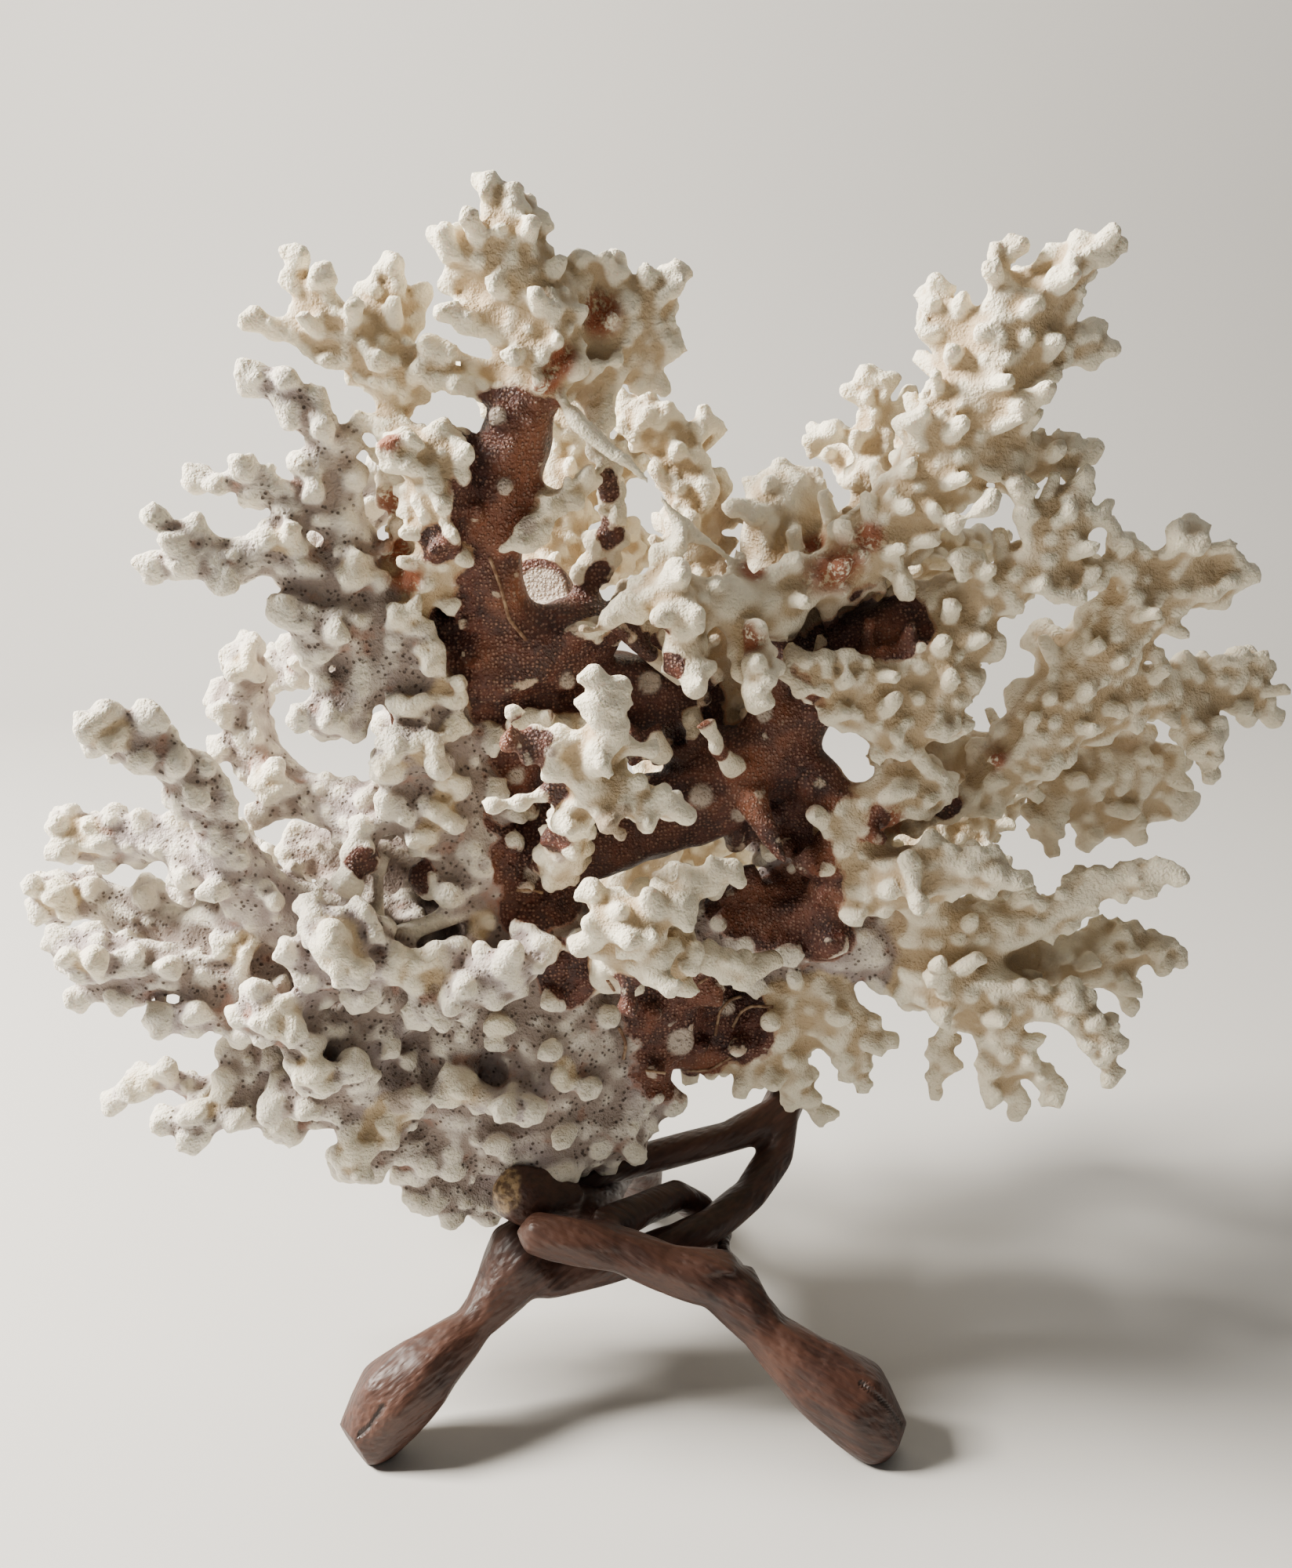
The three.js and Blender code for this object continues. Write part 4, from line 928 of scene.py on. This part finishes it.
# Where the stems are bare, the rust-red rim round the bare parts, the flecks, and the dead grey crust.
wander = n.math("MULTIPLY", n.math("SUBTRACT", middle, 0.5), 1.1)
brownness = n.math("ADD", n.attribute("brown"), wander)
brownness = n.math("SUBTRACT", brownness, n.math("MULTIPLY", n.step(ridge, 0.1, 0.9), 0.55))
bare = n.step(brownness, 0.40, 0.56)
rim = n.math("MULTIPLY", n.step(brownness, 0.22, 0.42), n.math("SUBTRACT", 1.0, bare))
fleck = n.math("MULTIPLY", n.attribute("rust"), n.step(n.math("ADD", wander, fine), 0.28, 0.5))
rusty = n.math("MAXIMUM", n.math("MULTIPLY", rim, 0.55), fleck)

dead = n.step(n.math("ADD", n.attribute("grey"), n.math("MULTIPLY", wander, 0.6)), 0.35, 0.65)
colour = n.mix(dead, ivory, ashen)
colour = n.mix(n.math("MULTIPLY", rusty, 0.92), colour, (0.25, 0.058, 0.018, 1))
colour = n.mix(bare, colour, stem)
colour = n.mix(n.attribute("pale"), colour, (0.50, 0.415, 0.345, 1))
n.put(shell.inputs["Base Color"], colour)
n.put(shell.inputs["Roughness"], n.math("SUBTRACT", 0.78, n.math("MULTIPLY", bare, 0.3)))
shell.inputs["Subsurface Weight"].default_value = 0.12
shell.inputs["Subsurface Radius"].default_value = (1.0, 0.7, 0.4)
shell.inputs["Subsurface Scale"].default_value = 0.0025
cup_height = n.math("MULTIPLY", cup, n.math("ADD", n.math("MULTIPLY", bare, 0.5), 0.1))
relief = n.math("ADD", cup_height, n.math("MULTIPLY", fine, 1.1))
relief = n.math("ADD", relief, n.math("MULTIPLY", grainy, 0.5))
relief = n.math("SUBTRACT", relief, n.math("MULTIPLY", n.math("MULTIPLY", pitted, n.attribute("grey")), 1.2))
bump = n.add("ShaderNodeBump", {"Strength": 0.9, "Distance": 0.0008, "Height": relief})
n.put(shell.inputs["Normal"], bump.outputs[0])

# The skin is shown as one piece for each CAD piece, parted where those are, with no seam to see.
loops = read_out(coral.loops, "vertex_index")
first = read_out(coral.polygons, "loop_start")
sizes = read_out(coral.polygons, "loop_total")
face_owner = owner[loops[first]]
slots = {entry["node"]: entry["material_slot"] for entry in frame["record"]["subparts"]}
layers = {"brown": brown, "grey": grey, "rust": rust, "pale": pale, "crest": crest, "hollow": hollow}
for number, name in enumerate(coral_nodes):
    faces = np.nonzero(face_owner == number)[0]
    inside = [loops[first[f]:first[f] + sizes[f]] for f in faces]
    used, flat = np.unique(np.concatenate(inside), return_inverse=True)
    parts, at = [], 0
    for corners in inside:
        parts.append(flat[at:at + len(corners)].tolist())
        at += len(corners)
    mesh = bpy.data.meshes.new(name + "_skin")
    mesh.from_pydata(spots[used].tolist(), [], parts)
    for label, values in layers.items():
        keep_value(mesh, label, values[used])
    shown(name + "_skin", mesh, stone, slots[name], name)
    mesh.normals_split_custom_set_from_vertices(outward[used].tolist())
bpy.data.meshes.remove(coral)


# Worm threads. Tubes of lime, thin as a pencil lead, that worms laid in bunches over the low stems.
# They stick to the skin. [right, up] places along each.
THREADS = [
    [(-9.8, -50), (-6.8, -54.5), (-2.8, -56), (0.7, -54)],
    [(13.2, -51), (16.2, -49), (20.2, -49.5)],
    [(17.7, -64), (18.7, -58), (21.2, -55), (25.2, -54)],
    [(22.2, -62), (24.2, -58), (27.2, -56.5), (33.2, -57)],
    [(0.2, -73), (6.2, -74), (12.2, -72), (17.2, -68), (24.2, -64)],
    [(9.2, -73), (16.2, -73), (21.2, -70), (24.2, -68)],
    [(-32.8, -27), (-28.8, -27), (-25.8, -28)],
    [(-6.8, -60), (-2.8, -64), (-0.8, -68)],
    [(-7, -62), (-5, -66), (-6, -71)],
    [(-40, 58), (-37, 50), (-35, 42), (-30, 36)],
]
THREAD_WIDE, THREAD_STEP, THREAD_JUMP, THREAD_LIFT, THREAD_PASSES = 0.00045, 0.8, 0.004, 0.0001, 3
thread_points, thread_faces = [], []
for thread in THREADS:
    line = []
    for start, end in zip(thread, thread[1:]):
        count = max(1, round(math.dist(start, end) / THREAD_STEP))
        for k in range(count):
            at = [a + (b - a) * k / count for a, b in zip(start, end)]
            hit, facing, _, _ = skin_view.ray_cast(EYE, sight(*at))
            if hit is None or (line and (hit - line[-1]).length > THREAD_JUMP):
                continue
            line.append(hit + facing * THREAD_LIFT)
    for _ in range(THREAD_PASSES):
        line = line[:1] + [(a + b * 2 + c) / 4 for a, b, c in zip(line, line[1:], line[2:])] + line[-1:]
    if len(line) > 2:
        points, faces = add_tube([(place_on, THREAD_WIDE) for place_on in line])
        thread_faces.append(faces + sum(len(p) for p in thread_points))
        thread_points.append(points)
threads = bpy.data.meshes.new("worm_threads")
threads.from_pydata(np.concatenate(thread_points).tolist(), [], np.concatenate(thread_faces).tolist())
lime, n, tube = new_finish("worm lime")
place = n.add("ShaderNodeTexCoord").outputs["Object"]
worn, scoured = n.mottled(place, 500.0, 3.0, 0.35, 0.65)
n.put(tube.inputs["Base Color"], n.mix(scoured, (0.16, 0.075, 0.04, 1), (0.42, 0.29, 0.18, 1)))
tube.inputs["Roughness"].default_value = 0.7
bump = n.add("ShaderNodeBump", {"Strength": 0.5, "Distance": 0.0002, "Height": worn})
n.put(tube.inputs["Normal"], bump.outputs[0])
shown("worm_threads", threads, lime, "coral_brown", "coral_trunk_right")


# The set, no part of the object: a pale matt floor that curves up into a wall, soft light from the
# upper left with two weak lamps to help it, and the camera.
FLOOR_FRONT, FLOOR_BACK, FLOOR_SIDE, WALL_TOP = -1.6, 0.7, 2.5, 2.2
BEND, BEND_STEPS = 0.35, 12
floor_mesh = bpy.data.meshes.new("floor")
profile = [(FLOOR_FRONT, 0.0), (FLOOR_BACK, 0.0)]
for step_number in range(1, BEND_STEPS + 1):
    angle = math.radians(90 * step_number / BEND_STEPS)
    profile.append((FLOOR_BACK + BEND * math.sin(angle), BEND - BEND * math.cos(angle)))
profile.append((FLOOR_BACK + BEND, WALL_TOP))
corners = [(x, y, z) for y, z in profile for x in (-FLOOR_SIDE, FLOOR_SIDE)]
panels = [(2 * k, 2 * k + 1, 2 * k + 3, 2 * k + 2) for k in range(len(profile) - 1)]
floor_mesh.from_pydata(corners, [], panels)
floor_mesh.polygons.foreach_set("use_smooth", np.ones(len(panels), bool))
floor = bpy.data.objects.new("floor", floor_mesh)
bpy.context.collection.objects.link(floor)
pale_floor, n, paint = new_finish("pale floor")
paint.inputs["Base Color"].default_value = (0.50, 0.49, 0.47, 1)
paint.inputs["Roughness"].default_value = 0.7
floor_mesh.materials.append(pale_floor)


def area_light(name, at, aim, size, energy, tint):
    lamp = bpy.data.lights.new(name, "AREA")
    lamp.size = size
    lamp.energy = energy
    lamp.color = tint
    holder = bpy.data.objects.new(name, lamp)
    holder.location = at
    holder.rotation_euler = (Vector(aim) - Vector(at)).to_track_quat("-Z", "Y").to_euler()
    bpy.context.collection.objects.link(holder)


CORAL_MIDDLE = (0, 0, 0.16)
area_light("window", (-0.95, -0.04, 0.88), CORAL_MIDDLE, 0.38, 86.0, (1.0, 0.945, 0.86))
area_light("front fill", (-0.3, -1.5, 0.9), CORAL_MIDDLE, 1.4, 1.8, (1.0, 0.96, 0.9))
area_light("wall wash", (0.3, 0.35, 1.5), (0, 1.05, 0.5), 0.8, 6.0, (1.0, 0.98, 0.95))
world = bpy.data.worlds.new("soft room")
bpy.context.scene.world = world
world.use_nodes = True
world.node_tree.nodes["Background"].inputs[0].default_value = (1.0, 0.955, 0.90, 1)
world.node_tree.nodes["Background"].inputs[1].default_value = 0.065

# The lens's length as a share of the picture's longer side.
FOCAL_SHARE, SENSOR = 2180 / 2000, 36.0
camera = bpy.data.objects.new("camera", bpy.data.cameras.new("camera"))
camera.data.sensor_width = SENSOR
camera.data.lens = SENSOR * FOCAL_SHARE
camera.location = EYE
camera.rotation_euler = (math.radians(90) - PITCH, 0, 0)
bpy.context.collection.objects.link(camera)
bpy.context.scene.camera = camera
